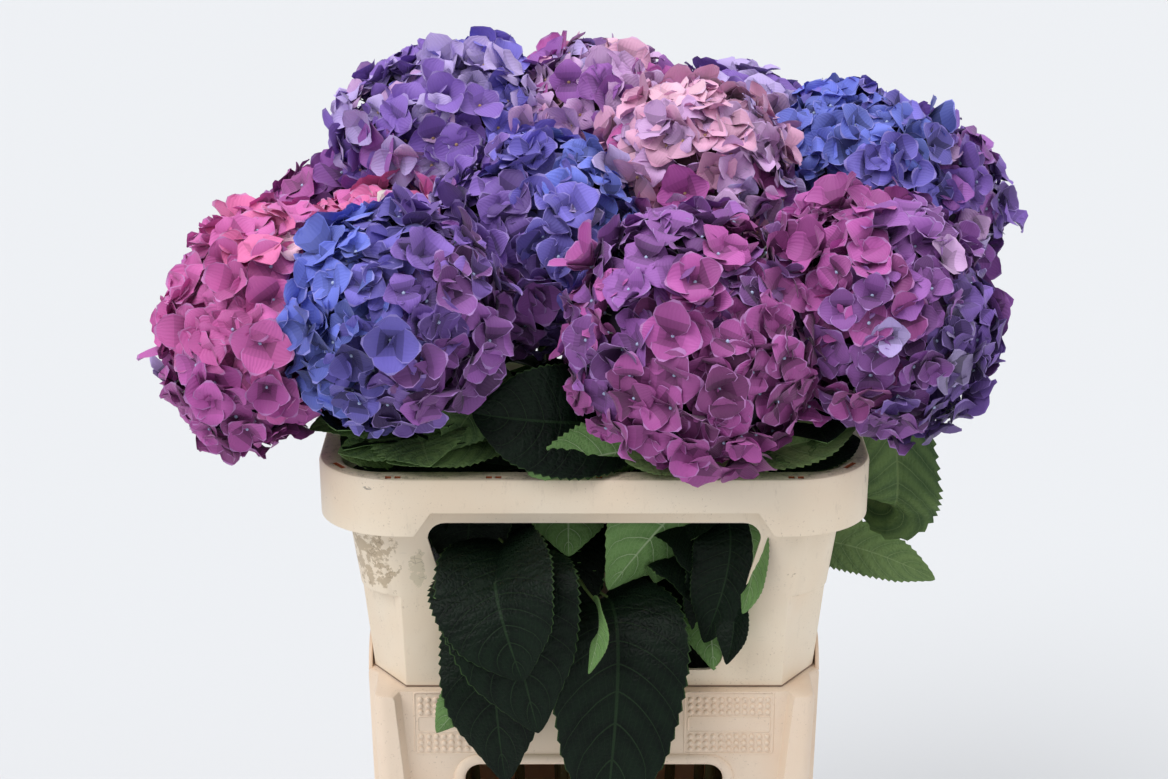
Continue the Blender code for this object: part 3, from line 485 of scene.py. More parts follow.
def bucket_outline(z, inset):
    """The outline at a height: columns at the corners, sunk front and back, bulging sides."""
    share = 1 - z / BUCKET_TOP
    column_x, column_y = [between(ends, share) - inset for ends in zip(*COLUMN_HALF)]
    panel_half = between(PANEL_HALF_WIDTH, share) + inset
    side_half = between(SIDE_HALF_WIDTH, share) - inset
    side = between(SIDE_PLANE, share) - inset
    turn = np.linspace(0, pi / 2, 9)
    arc = np.stack([column_x - COLUMN_ROUND + COLUMN_ROUND * np.cos(turn),
                    column_y - COLUMN_ROUND + COLUMN_ROUND * np.sin(turn)], axis=1)
    flank = [(side, side_half - COLUMN_FLANK), (column_x, side_half + COLUMN_FLANK)]
    panel = [(panel_half, column_y), (panel_half - COLUMN_FLANK, panel_plane(z) - inset)]
    quarter = np.concatenate([flank, arc, panel])
    return full_ring(quarter, z)


def panel_plane(z):
    """How far the sunk front stands from the middle at a height."""
    return between(PANEL_PLANE, 1 - z / BUCKET_TOP)


def on_panel(across, up, out, side):
    """Points across and up the sunk front, or the back where side is 1, standing out from it."""
    across, up, out = np.broadcast_arrays(across, up, out)
    depth = panel_plane(up) + out
    return np.stack([across * -side, side * depth, up], axis=-1)


def raised_band(name, outline, width, height, side):
    """A closed moulding with a half-round section along an outline (n, 2) on the panel.

    Each point of the outline is pushed outwards and inwards along its normal by width times the
    cosine, and out of the panel by height times the sine, of a half turn.
    """
    ahead = np.roll(outline, -1, axis=0) - np.roll(outline, 1, axis=0)
    normal = np.stack([ahead[:, 1], -ahead[:, 0]], axis=1)
    normal /= np.linalg.norm(normal, axis=1)[:, None]
    turn = np.linspace(0, pi, 7)
    spread = outline[:, None, :] + normal[:, None, :] * (np.cos(turn) * width)[None, :, None]
    out = np.broadcast_to(np.sin(turn) * height - 0.0004, spread.shape[:2])
    return lofted(name, list(on_panel(spread[..., 0], spread[..., 1], out, side)), True)


def bump_rows(side, middle, lowest):
    """Three rows of eleven domes on the panel: each is a ring, a smaller raised ring and a crown."""
    columns = (np.arange(BUMP_COUNT[0]) - (BUMP_COUNT[0] - 1) / 2) * BUMP_PITCH[0] + middle
    rows = lowest + np.arange(BUMP_COUNT[1]) * BUMP_PITCH[1]
    turn = np.arange(BUMP_SIDES) * 2 * pi / BUMP_SIDES
    radius = BUMP_SHARES * BUMP_RADIUS
    across = columns[:, None, None, None] + radius[None, None, :, None] * np.cos(turn)
    up = rows[None, :, None, None] + radius[None, None, :, None] * np.sin(turn)
    points = on_panel(across, up, BUMP_RISES[None, None, :, None], side)
    points = points.reshape(-1, len(radius) * BUMP_SIDES, 3)
    dome = ring_faces(len(radius), BUMP_SIDES, False)
    faces = (np.arange(len(points)) * len(radius) * BUMP_SIDES)[:, None, None] + dome[None]
    return points.reshape(-1, 3), faces.reshape(-1, 4)


def merge_points(piece, distance=0.00001):
    """Close a surface where its points fall together."""
    work = bmesh.new()
    work.from_mesh(piece.data)
    bmesh.ops.remove_doubles(work, verts=work.verts, dist=distance)
    bmesh.ops.recalc_face_normals(work, faces=work.faces)
    work.to_mesh(piece.data)
    work.free()


def join_pieces(name, pieces):
    """Several pieces made one, each keeping its shape."""
    work = bmesh.new()
    for piece in pieces:
        work.from_mesh(piece.data)
    mesh = bpy.data.meshes.new(name)
    work.to_mesh(mesh)
    work.free()
    mesh.shade_smooth()
    mesh.set_sharp_from_angle(angle=radians(40))
    for piece in pieces:
        bpy.data.objects.remove(piece)
    joined = bpy.data.objects.new(name, mesh)
    bpy.context.scene.collection.objects.link(joined)
    return joined


bucket_plastic = scuffed_plastic("bucket_plastic", (0.86, 0.70, 0.55), (0.84, 0.65, 0.49), False)
# Painted light: the bucket's inside walls and the hand slots' sides are a stronger orange than the bucket,
# for the glow of light that comes through the translucent walls.
slot_painted_glow = flat_finish("slot_painted_glow", (0.90, 0.56, 0.36), 0.5)
grip_plastic = flat_finish("grip_plastic", (0.88, 0.68, 0.51), 0.5)

bucket = lofted("bucket_shell", [bucket_outline(z, inset) for z, inset in BUCKET_RINGS], False)
bucket.data.materials.append(bucket_plastic)
hollow = lofted("bucket_hollow", [bucket_outline(BUCKET_FLOOR, BUCKET_WALL),
                                  bucket_outline(BUCKET_TOP - BUCKET_FLANGE, BUCKET_WALL)], False)
mouth = lofted("bucket_mouth", [full_ring(cut_corner(MOUTH_HALF, MOUTH_CUT), z)
                                for z in (BUCKET_TOP - BUCKET_FLANGE - 0.002, BUCKET_TOP + 0.01)], False)
hand_slot = window_outline(HAND_SLOT_HALF, HAND_SLOT_HALF, *HAND_SLOT, HAND_SLOT_ROUND)
slots = upright_prism("hand_slots", hand_slot, -HAND_SLOT_REACH, HAND_SLOT_REACH)
mouth.data.materials.append(bucket_plastic)
for cutter in (hollow, slots):
    cutter.data.materials.append(slot_painted_glow)
carve(bucket, [hollow, mouth, slots])
soften(bucket, BUCKET_EDGE)
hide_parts("bucket")
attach(bucket, "root")

# The raised edges of the hand slots and label places, and the bumps round these, are one moulding
# with the bucket. So are the side grips, two low arches that stand up past the collar's foot.
trims = []
for side in (-1, 1):
    slot_half = HAND_SLOT_HALF + SLOT_EDGE
    slot_edge = window_outline(slot_half, slot_half, HAND_SLOT[0] - SLOT_EDGE, HAND_SLOT[1] + SLOT_EDGE,
                               HAND_SLOT_ROUND + SLOT_EDGE)
    trims.append(raised_band("slot_edge", slot_edge, SLOT_EDGE, 0.0030, side))
    for middle in (-LABEL_MIDDLE, LABEL_MIDDLE):
        for half, heights, width, rise in ((LABEL_HALF, LABEL_PLATE, 0.0008, 0.0010),
                                           (LABEL_FIELD_HALF, LABEL_FIELD, 0.0007, 0.0009)):
            edge = window_outline(half, half, *heights, LABEL_ROUND, 5) + (middle, 0)
            trims.append(raised_band("label_edge", edge, width, rise, side))
        for lowest in BUMPS_FROM:
            points, faces = bump_rows(side, middle, lowest)
            bumps = new_piece("bumps", points, faces)
            merge_points(bumps)
            trims.append(bumps)
trim = join_pieces("bucket_mouldings", trims)
trim.data.materials.append(bucket_plastic)
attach(trim, "root")


def grip_rings(hand):
    """A low arch over each side: its top edge falls away at both ends by a quarter wave."""
    half = SIDE_HALF_WIDTH[0] - GRIP_SHORT
    along = np.linspace(-half, half, 41)
    fall = np.clip((np.abs(along) - (half - GRIP_FALL)) / GRIP_FALL, 0, 1)
    top = BUCKET_TOP + GRIP_RISE * np.cos(fall * pi / 2) ** 0.7 + 0.0002
    outer = np.full_like(along, hand * (SIDE_PLANE[0] - 0.0002))
    inner = np.full_like(along, hand * (SIDE_PLANE[0] - BUCKET_WALL))
    low = np.full_like(along, BUCKET_TOP - 0.002)
    eased = hand * GRIP_EDGE[0]
    corners = [(outer, low), (outer, top - GRIP_EDGE[1]), (outer - eased, top),
               (inner + eased, top), (inner, top - GRIP_EDGE[1]), (inner, low)]
    return [np.column_stack([x, along, z]) for x, z in corners]


grips = []
for hand in (-1, 1):
    columns = np.stack(grip_rings(hand), axis=1)
    grips.append(lofted("grip", list(columns), False))
grips = join_pieces("side_grips", grips)
grips.data.materials.append(grip_plastic)
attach(grips, "root")

# Each bloom is on a cut woody stem that stands on the bucket's floor and is 8 to 9 mm thick. It
# is olive brown with pale pores, turns greener upwards, and swells a little at each pair of leaves.
GAP = 0.0003
FOOT_SHARE = (0.74, 0.68)
WAIST_HEIGHT = 0.480
STEM_RADIUS = 0.0046
STALK_RADIUS = 0.0032
STALK_TIP = 0.0026
STALK = 0.026
STEM_RISE = 0.16
WAIST_BEND = 0.15
BLOOM_BEND = 0.040
LEAF_NODES = (0.470, 0.530, 0.585)
NODE_SWELL = 0.24
NODE_LENGTH = 0.0045
STEM_SIDES = 10
STEM_RINGS = 120
OFF_AXIS = (0.31, 0.52, 0.79)

Bloom = namedtuple("Bloom", "name centre azimuth lean radius crown under waist "
                            "hue aside rise spread pale tone")

# Azimuth turns from the front (-Y) towards +X, and lean is away from upright, in degrees. The
# waist is where the stem passes the windows. Hue counts along the row of petal colours, aside and
# rise are how it changes to the right and upwards over the bloom, pale is the share of pale ones,
# and tone is how light the petals are.
BLOOMS = (
    Bloom("far_left", (-0.240, -0.080, 0.633), -80, 65, 0.105, 0.080, 0.060, (-0.135, -0.046),
          1.4, 0.0, -0.8, 0.38, 0.04, 4.2),
    Bloom("front_left", (-0.143, -0.128, 0.652), -25, 50, 0.093, 0.080, 0.055, (-0.088, -0.062),
          4.6, -1.6, 0.2, 0.35, 0.0, 2.6),
    Bloom("centre", (-0.042, -0.025, 0.680), -5, 42, 0.098, 0.080, 0.060, (-0.030, -0.012),
          4.1, 0.9, 0.9, 0.45, 0.04, 2.8),
    Bloom("mid_left", (-0.168, 0.008, 0.652), -70, 20, 0.090, 0.070, 0.055, (-0.128, 0.010),
          0.6, 0.3, -0.2, 0.3, 0.12, 4.3),
    Bloom("back_left", (-0.115, 0.095, 0.735), -35, 20, 0.103, 0.078, 0.055, (-0.076, 0.045),
          4.2, 0.3, 0.4, 0.50, 0.55, 4.9),
    Bloom("back_centre", (0.003, 0.115, 0.745), 180, 12, 0.085, 0.070, 0.055, (0.000, 0.050),
          2.8, 0.2, -0.2, 0.5, 0.75, 4.4),
    Bloom("back_right", (0.110, 0.140, 0.716), 160, 14, 0.090, 0.073, 0.055, (0.080, 0.056),
          3.8, 0.3, 0.0, 0.5, 0.28, 3.1),
    Bloom("centre_right", (0.078, 0.018, 0.722), 10, 30, 0.086, 0.075, 0.055, (0.042, 0.008),
          2.3, 0.3, -0.9, 0.5, 1.0, 4.5),
    Bloom("right_back", (0.205, 0.090, 0.710), 50, 25, 0.085, 0.073, 0.055, (0.114, 0.036),
          5.5, -0.6, 0.3, 0.45, 0.0, 3.0),
    Bloom("far_right", (0.262, 0.125, 0.680), 110, 45, 0.083, 0.073, 0.050, (0.138, 0.072),
          3.2, 0.3, 0.2, 0.6, 0.20, 4.2),
    Bloom("front", (0.073, -0.128, 0.637), 8, 50, 0.107, 0.085, 0.055, (0.036, -0.062),
          2.3, -0.15, 0.5, 0.22, 0.02, 2.8),
    Bloom("right", (0.205, -0.090, 0.645), 55, 50, 0.105, 0.085, 0.055, (0.118, -0.044),
          2.8, 0.8, -0.5, 0.42, 0.03, 2.9),
    Bloom("rear_left", (-0.190, 0.130, 0.640), 215, 50, 0.098, 0.078, 0.055, (-0.126, 0.068),
          3.0, 0.5, 0.2, 0.5, 0.1, 3.0),
    Bloom("rear_centre", (-0.045, 0.195, 0.655), 180, 50, 0.098, 0.078, 0.055, (-0.036, 0.092),
          5.0, 0.8, 0.1, 0.5, 0.0, 3.0),
    Bloom("rear_right", (0.115, 0.215, 0.640), 165, 55, 0.100, 0.078, 0.055, (0.058, 0.096),
          1.8, 0.4, 0.4, 0.5, 0.05, 3.0),
)


def bloom_axis(bloom):
    """The direction that a bloom faces."""
    lean, turn = radians(bloom.lean), radians(bloom.azimuth)
    return np.array([sin(lean) * sin(turn), -sin(lean) * cos(turn), cos(lean)])


def unit(vectors):
    """Vectors scaled to length one."""
    return vectors / np.linalg.norm(vectors, axis=-1, keepdims=True)


def bow(start, start_way, end, end_way, count):
    """Points of a cubic curve that leaves one place and reaches another in given directions."""
    t = np.linspace(0, 1, count)[:, None]
    return (start * (1 - t) ** 3 + (start + start_way) * (3 * t * (1 - t) ** 2)
            + (end - end_way) * (3 * t * t * (1 - t)) + end * t ** 3)


def stem_path(bloom):
    """The stem's route: up from the bucket's floor, past its waist, and over to the stalk."""
    axis = bloom_axis(bloom)
    top = np.array(bloom.centre) - axis * (bloom.under + STALK)
    waist = np.array([*bloom.waist, WAIST_HEIGHT])
    foot = np.array([bloom.waist[0] * FOOT_SHARE[0], bloom.waist[1] * FOOT_SHARE[1], BUCKET_FLOOR + GAP])
    lean = unit(unit(waist - foot) + unit(top - waist))
    lower = bow(foot, np.array([0, 0, STEM_RISE]), waist, lean * WAIST_BEND, 16)
    upper = bow(waist, lean * BLOOM_BEND, top, axis * BLOOM_BEND, 12)
    return np.concatenate([lower, upper[1:]])


def tube(path, radii, sides):
    """Points and faces of a round limb: rings of one radius each, square to a path (n, 3), capped."""
    along = unit(np.gradient(path, axis=0))
    aside = unit(np.cross(along, OFF_AXIS))
    over = np.cross(along, aside)
    turn = np.arange(sides) * 2 * pi / sides
    spread = (aside[:, None, :] * np.cos(turn)[None, :, None]
              + over[:, None, :] * np.sin(turn)[None, :, None])
    points = path[:, None, :] + spread * np.asarray(radii).reshape(-1, 1, 1)
    faces = [tuple(face) for face in ring_faces(len(path), sides, False)]
    faces.append(tuple(range(sides))[::-1])
    faces.append(tuple(range((len(path) - 1) * sides, len(path) * sides)))
    return points.reshape(-1, 3), faces


def evenly_spaced(path, count):
    """The same route with evenly spaced points in greater number."""
    steps = np.linalg.norm(np.diff(path, axis=0), axis=1)
    far = np.concatenate([[0], np.cumsum(steps)])
    where = np.linspace(0, far[-1], count)
    return np.stack([np.interp(where, far, path[:, k]) for k in range(3)], axis=1)


def woody_green(name, low, high, low_height, high_height):
    """Stem skin: brown-green below, green above, with short pale pores and long streaks."""
    material, tree, shader = new_finish(name)
    here = node(tree, "ShaderNodeTexCoord").outputs["Object"]
    height = node(tree, "ShaderNodeSeparateXYZ", (("Vector", here),)).outputs["Z"]
    colour = blend_colour(tree, ramp(tree, height, low_height, high_height), low, high)
    streaks = ramp(tree, noise(tree, here, 1.0, 3.0, 0.6, (260.0, 260.0, 22.0)), 0.40, 0.66, 0.0, 0.55)
    colour = blend_colour(tree, streaks, colour, (0.20, 0.13, 0.055))
    pores = ramp(tree, noise(tree, here, 1.0, 1.0, 0.5, (520.0, 520.0, 190.0)), 0.68, 0.72, 0.0, 0.7)
    colour = blend_colour(tree, pores, colour, (0.42, 0.36, 0.22))
    fill_sockets(tree, shader, (("Base Color", colour), ("Roughness", 0.55),
                                ("Normal", bump(tree, pores, 0.0003, 0.6))))
    return material


stem_skin = woody_green("stem_skin", (0.17, 0.15, 0.055), (0.13, 0.19, 0.05), 0.30, 0.58)
stem_points, stem_faces, stem_count = [], [], 0
for bloom in BLOOMS:
    path = evenly_spaced(stem_path(bloom), STEM_RINGS)
    share = np.linspace(0, 1, len(path))
    radius = between((STEM_RADIUS, STALK_RADIUS), share)
    for height in LEAF_NODES:
        radius *= 1 + NODE_SWELL * np.exp(-((path[:, 2] - height) / NODE_LENGTH) ** 2)
    points, faces = tube(path, radius, STEM_SIDES)
    stem_points.append(points)
    stem_faces += [tuple(corner + stem_count for corner in face) for face in faces]
    stem_count += len(points)
stems = new_piece("cut_stems", np.concatenate(stem_points), stem_faces)
stems.data.materials.append(stem_skin)
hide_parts(*("stem_" + bloom.name for bloom in BLOOMS))
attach(stems, "root")

# The leaves are broad and thick, with toothed edges and side veins that run in arcs to the rim.
# Their tops are a dark blue green, and their undersides are pale with raised veins. They grow in
# opposite pairs, and some hang out of the windows or lie on the rim.
LEAF_SIZE = (0.118, 0.078)
LEAF_THICKNESS = 0.0009
LEAF_STATIONS = (103, 33)
LEAF_ACROSS = (np.array([-1.0, -0.965, -0.8, -0.55, -0.3, -0.1, 0.0, 0.1, 0.3, 0.55, 0.8, 0.965, 1.0]),
               np.array([-1.0, -0.9, -0.6, -0.3, 0.0, 0.3, 0.6, 0.9, 1.0]))
LEAF_TEETH = (25, 14)
LEAF_TOOTH = 0.062
LEAF_VEINS = 10
VEIN_SWEEP = 1.9
VEIN_CURVE = 1.35
LEAF_WIDEST = 0.4685
LEAF_QUILT = 0.0021
LEAF_KEEL = (0.04, 0.26)
LEAF_TURNS = (0.0, 0.45, -0.45, 0.9, -0.9)
LEAF_RISES = (0.35, -0.1, 0.9, -0.6)
LEAF_SCALES = (1.0, 0.82, 0.66)
LEAF_START = 0.022
LEAF_DROOP = 0.7
PETIOLE_RADII = np.linspace(0.0019, 0.0011, 9)
SURFACE_REACH = 0.0017
UNDER_NUMBER = 1
STALK_NUMBER = 2
TOP_NUMBERS = (0, 3, 4)

Leaf = namedtuple("Leaf", "stem height base bend tip width face fresh")

# The leaves that show one by one, in the windows and over the rim. Base, bend and tip are the
# middle rib's, face is where the top looks, and fresh is 0 for a dark leaf, 1 for a lighter one
# and 2 for a young one.
SHOWN_LEAVES = (
    Leaf("front_left", 0.490, (-0.066, -0.098, 0.470), (-0.072, -0.190, 0.486), (-0.041, -0.176, 0.350),
         0.108, (0.0, -0.9, 0.45), 0),
    Leaf("far_left", 0.440, (-0.058, -0.092, 0.425), (-0.084, -0.168, 0.430), (-0.066, -0.148, 0.296),
         0.088, (-0.15, -0.95, 0.3), 0),
    Leaf("centre", 0.440, (0.008, -0.092, 0.424), (0.028, -0.174, 0.450), (0.006, -0.166, 0.254),
         0.106, (0.1, -0.9, 0.4), 0),
    Leaf("centre", 0.560, (0.030, -0.085, 0.562), (-0.020, -0.165, 0.582), (-0.088, -0.142, 0.586),
         0.086, (-0.15, -0.9, 0.4), 0),
    Leaf("right", 0.545, (0.222, -0.030, 0.600), (0.246, -0.062, 0.418), (0.224, 0.050, 0.480),
         0.070, (-0.15, -0.95, 0.1), 1),
    Leaf("right_back", 0.470, (0.150, 0.015, 0.430), (0.205, 0.005, 0.436), (0.272, 0.012, 0.396),
         0.046, (0.0, -0.85, 0.55), 2),
    Leaf("front", 0.500, (0.100, -0.095, 0.528), (0.064, -0.110, 0.512), (0.010, -0.118, 0.440),
         0.092, (0.0, 0.75, 0.6), 0),
    Leaf("centre", 0.500, (-0.016, -0.060, 0.524), (-0.020, -0.092, 0.516), (-0.019, -0.112, 0.464),
         0.070, (0.0, 0.6, 0.8), 0),
    Leaf("right", 0.470, (0.100, -0.072, 0.474), (0.100, -0.104, 0.450), (0.082, -0.100, 0.386),
         0.062, (0.3, -0.9, 0.2), 0),
    Leaf("far_left", 0.545, (-0.128, -0.088, 0.560), (-0.130, -0.130, 0.570), (-0.118, -0.160, 0.552),
         0.080, (-0.1, -0.4, 0.9), 1),
    Leaf("front", 0.545, (0.056, -0.110, 0.552), (0.006, -0.150, 0.560), (-0.048, -0.158, 0.545),
         0.056, (0.0, 0.9, 0.2), 1),
    Leaf("right", 0.555, (0.128, -0.092, 0.556), (0.136, -0.124, 0.558), (0.150, -0.150, 0.549),
         0.064, (0.0, -0.4, 0.9), 1),
    Leaf("front_left", 0.480, (-0.072, -0.100, 0.468), (-0.080, -0.186, 0.476), (-0.052, -0.186, 0.396),
         0.098, (-0.2, -0.9, 0.3), 0),
    Leaf("far_left", 0.560, (-0.090, -0.074, 0.574), (-0.150, -0.104, 0.582), (-0.208, -0.118, 0.566),
         0.062, (0.0, -0.4, 0.9), 1),
    Leaf("front_left", 0.550, (-0.070, -0.090, 0.562), (-0.130, -0.126, 0.566), (-0.186, -0.136, 0.554),
         0.056, (-0.1, -0.45, 0.9), 1),
    Leaf("front_left", 0.545, (-0.040, -0.096, 0.560), (-0.086, -0.138, 0.560), (-0.150, -0.148, 0.551),
         0.046, (0.0, -0.5, 0.85), 1),
    Leaf("front_left", 0.565, (-0.060, -0.078, 0.594), (-0.080, -0.120, 0.600), (-0.108, -0.138, 0.556),
         0.056, (0.2, -0.75, 0.6), 1),
    Leaf("front", 0.550, (0.060, -0.120, 0.552), (0.130, -0.152, 0.553), (0.192, -0.112, 0.567),
         0.050, (0.0, -0.6, 0.8), 2),
    Leaf("front", 0.545, (0.104, -0.105, 0.554), (0.064, -0.144, 0.555), (0.022, -0.148, 0.552),
         0.048, (0.0, -0.6, 0.8), 2),
    Leaf("right", 0.490, (0.098, -0.086, 0.492), (0.110, -0.124, 0.472), (0.082, -0.120, 0.398),
         0.058, (-0.35, -0.9, 0.2), 0),
    Leaf("right", 0.500, (0.108, -0.092, 0.500), (0.128, -0.126, 0.480), (0.110, -0.136, 0.428),
         0.040, (0.75, 0.55, 0.3), 0),
    Leaf("right", 0.430, (0.072, -0.088, 0.430), (0.088, -0.110, 0.430), (0.090, -0.116, 0.374),
         0.050, (0.1, 0.95, 0.2), 0),
    Leaf("right", 0.440, (0.092, -0.100, 0.432), (0.112, -0.130, 0.436), (0.098, -0.138, 0.388),
         0.032, (-0.5, -0.8, 0.2), 0),
    Leaf("centre", 0.450, (0.000, -0.128, 0.436), (0.010, -0.172, 0.440), (-0.004, -0.182, 0.400),
         0.020, (0.6, 0.75, 0.3), 0),
    Leaf("front", 0.420, (0.030, -0.020, 0.400), (0.060, -0.035, 0.402), (0.090, -0.058, 0.344),
         0.076, (0.0, -0.5, 0.8), 0),
    Leaf("far_left", 0.430, (-0.068, -0.134, 0.392), (-0.088, -0.152, 0.376), (-0.118, -0.140, 0.334),
         0.040, (0.1, 0.9, 0.3), 0),
    Leaf("far_left", 0.540, (-0.100, -0.070, 0.535), (-0.150, -0.100, 0.548), (-0.186, -0.118, 0.546),
         0.060, (0.0, -0.6, 0.8), 2),
    Leaf("far_left", 0.520, (-0.090, -0.110, 0.530), (-0.140, -0.124, 0.536), (-0.178, -0.084, 0.540),
         0.060, (0.0, -0.3, 0.95), 0),
    Leaf("front_left", 0.540, (-0.150, -0.108, 0.538), (-0.120, -0.120, 0.546), (-0.055, -0.121, 0.538),
         0.034, (0.0, -0.6, 0.8), 0),
    Leaf("far_left", 0.500, (-0.100, -0.080, 0.505), (-0.150, -0.106, 0.530), (-0.184, -0.080, 0.520),
         0.080, (0.0, -0.3, 0.95), 0),
    Leaf("right", 0.530, (0.110, -0.104, 0.535), (0.160, -0.112, 0.547), (0.197, -0.090, 0.549),
         0.052, (0.0, -0.5, 0.85), 0),
    Leaf("right", 0.520, (0.110, -0.060, 0.520), (0.160, -0.100, 0.535), (0.176, -0.090, 0.538),
         0.070, (0.0, -0.2, 0.95), 0),
)
INNER_LEAF_HEIGHTS = (0.400, 0.440, 0.480, 0.520)
INNER_REACH = (0.140, 0.098)
CORNER_WAY = (0.808, 0.589)
CORNER_REACH = 0.146
OVER_RIM_REACH = (0.186, 0.138)
OVER_RIM_HEIGHT = RIM_TOP + 0.006
OVER_RIM_FROM = 0.562
PACKED_START = 0.012
PACKED_WIDTHS = (0.076, 0.066)


def rib_curve(base, bend, tip, share):
    """The leaf's middle rib: a curve from base to tip that is drawn towards the bend."""
    share = np.asarray(share, dtype=float)[:, None]
    return base * (1 - share) ** 2 + bend * (2 * share * (1 - share)) + tip * share ** 2


def leaf_blade(base, bend, tip, width, face, seed, plain, coarse):
    """Points, texture places, faces and top marks of one leaf, with fewer steps for a plain one.

    The half width is share to the power 0.5 times what is left to the power 0.6, over that
    curve's widest value, drawn in to a tip, less a saw-tooth at the rim. The blade is lifted
    from the rib in proportion to the distance, and quilted by the distance to the nearest side
    vein. A second layer closes it.
    """
    chance = random.Random(seed)
    stations, spread = LEAF_STATIONS[plain], LEAF_ACROSS[plain]
    share = np.linspace(0.0002, 0.9999, stations)
    rib = rib_curve(base, bend, tip, share)
    along = unit((bend - base) * (1 - share[:, None]) + (tip - bend) * share[:, None])
    aside = unit(np.cross(along, face))
    normal = np.cross(aside, along)
    v = spread[None, :]
    u = share[:, None]
    tooth = (u * LEAF_TEETH[plain] + 0.3 * v) % 1.0
    rim = 1 - LEAF_TOOTH * (2.2 if coarse else 1.0) * (1 - tooth) * np.abs(v) ** 12
    drawn_in = 1 - 0.45 * np.clip((u - 0.78) / 0.22, 0, 1) ** 1.4
    half = width / 2 * u ** 0.5 * (1 - u) ** 0.6 / LEAF_WIDEST * drawn_in + 0.0002
    reach = half * rim * v
    phase = u * LEAF_VEINS - VEIN_SWEEP * np.abs(v) ** VEIN_CURVE
    pillow = np.abs(np.sin(pi * phase)) ** 0.7 * np.sin(pi * np.clip(np.abs(v), 0, 1)) ** 0.6
    wave = chance.uniform(0.04, 0.11) * np.sin(2 * pi * (u * chance.uniform(1.4, 2.6) + chance.random())
                                               + np.sign(v) * 1.3) * np.abs(v) ** 2
    keel = chance.uniform(*LEAF_KEEL)
    rise = np.abs(reach) * keel + pillow * LEAF_QUILT * half / 0.04 + wave * half
    top = rib[:, None] + aside[:, None] * reach[..., None] + normal[:, None] * rise[..., None]
    thin = LEAF_THICKNESS * (1 - np.abs(v) ** 16) * np.ones_like(u)
    low = (top - normal[:, None] * thin[..., None])[:, -2:0:-1]
    points = np.concatenate([top, low], axis=1)
    across = np.concatenate([spread, spread[-2:0:-1]])
    places = np.stack(np.broadcast_arrays(u, 0.5 + across[None, :] / 2), axis=-1)
    count = points.shape[1]
    faces = [tuple(face) for face in ring_faces(stations, count, False)]
    is_top = [k % count < len(spread) - 1 for k in range(len(faces))]
    faces.append(tuple(range(count))[::-1])
    faces.append(tuple(range((stations - 1) * count, stations * count)))
    return points.reshape(-1, 3), places.reshape(-1, 2), faces, is_top + [True, True]


def leaf_from_rule(place, turn, rise, scale):
    """The rib, width and face of a leaf that leaves its stem at a turn and a slope."""
    out = np.array([sin(turn), -cos(turn), 0.0])
    up = np.array([0.0, 0.0, 1.0])
    length, width = LEAF_SIZE[0] * scale, LEAF_SIZE[1] * scale
    base = place + (out + up * rise / 2) * LEAF_START
    bend = base + unit(out + up * rise) * length / 2
    tip = bend + unit(out + up * (rise - LEAF_DROOP)) * length / 2
    face = unit(np.array([-rise / 2 * out[0], -rise / 2 * out[1], 1.0]))
    return base, bend, tip, width, face


def place_at(path, height):
    """The place on a rising path at a height."""
    for low, high in zip(path, path[1:]):
        if low[2] <= height <= high[2]:
            return low + (high - low) * (height - low[2]) / (high[2] - low[2])
    return path[-1].copy()


def solid_tree(name):
    """A search tree over a CAD node."""
    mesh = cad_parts[name].data
    points = [vertex.co[:] for vertex in mesh.vertices]
    return BVHTree.FromPolygons(points, [tuple(face.vertices) for face in mesh.polygons])


def grows_there(tree, leaf):
    """Whether the solid holds this leaf: its rib lies within a leaf's thickness of the surface."""
    base, bend, tip, _, _ = leaf
    ribs = rib_curve(base, bend, tip, (0.3, 0.5, 0.7, 0.9))
    return all(tree.find_nearest(Vector(point), SURFACE_REACH)[3] is not None for point in ribs)


def paired_leaves(bloom, number):
    """The leaves of one stem in opposite pairs, each where the solid has it."""
    chance = random.Random(400 + number)
    tree = solid_tree("leaves_" + bloom.name)
    path = stem_path(bloom)
    for level, height in enumerate(LEAF_NODES):
        if height > path[-1][2] - 0.01:
            continue
        place = place_at(path, height)
        for side in (0, 1):
            turn = radians(bloom.azimuth) + pi / 2 * level + pi * side + chance.uniform(-0.3, 0.3)
            tries = [leaf_from_rule(place, turn + aside, rise, scale) for scale in LEAF_SCALES
                     for aside in LEAF_TURNS for rise in LEAF_RISES]
            for leaf in tries:
                if grows_there(tree, leaf):
                    yield place, leaf
                    break


def held_within(reach, corners):
    """Bring a leaf's corners inside a reach to the sides and to the front and back."""
    for corner in corners:
        corner[0] = np.clip(corner[0], -reach[0], reach[0])
        corner[1] = np.clip(corner[1], -reach[1], reach[1])


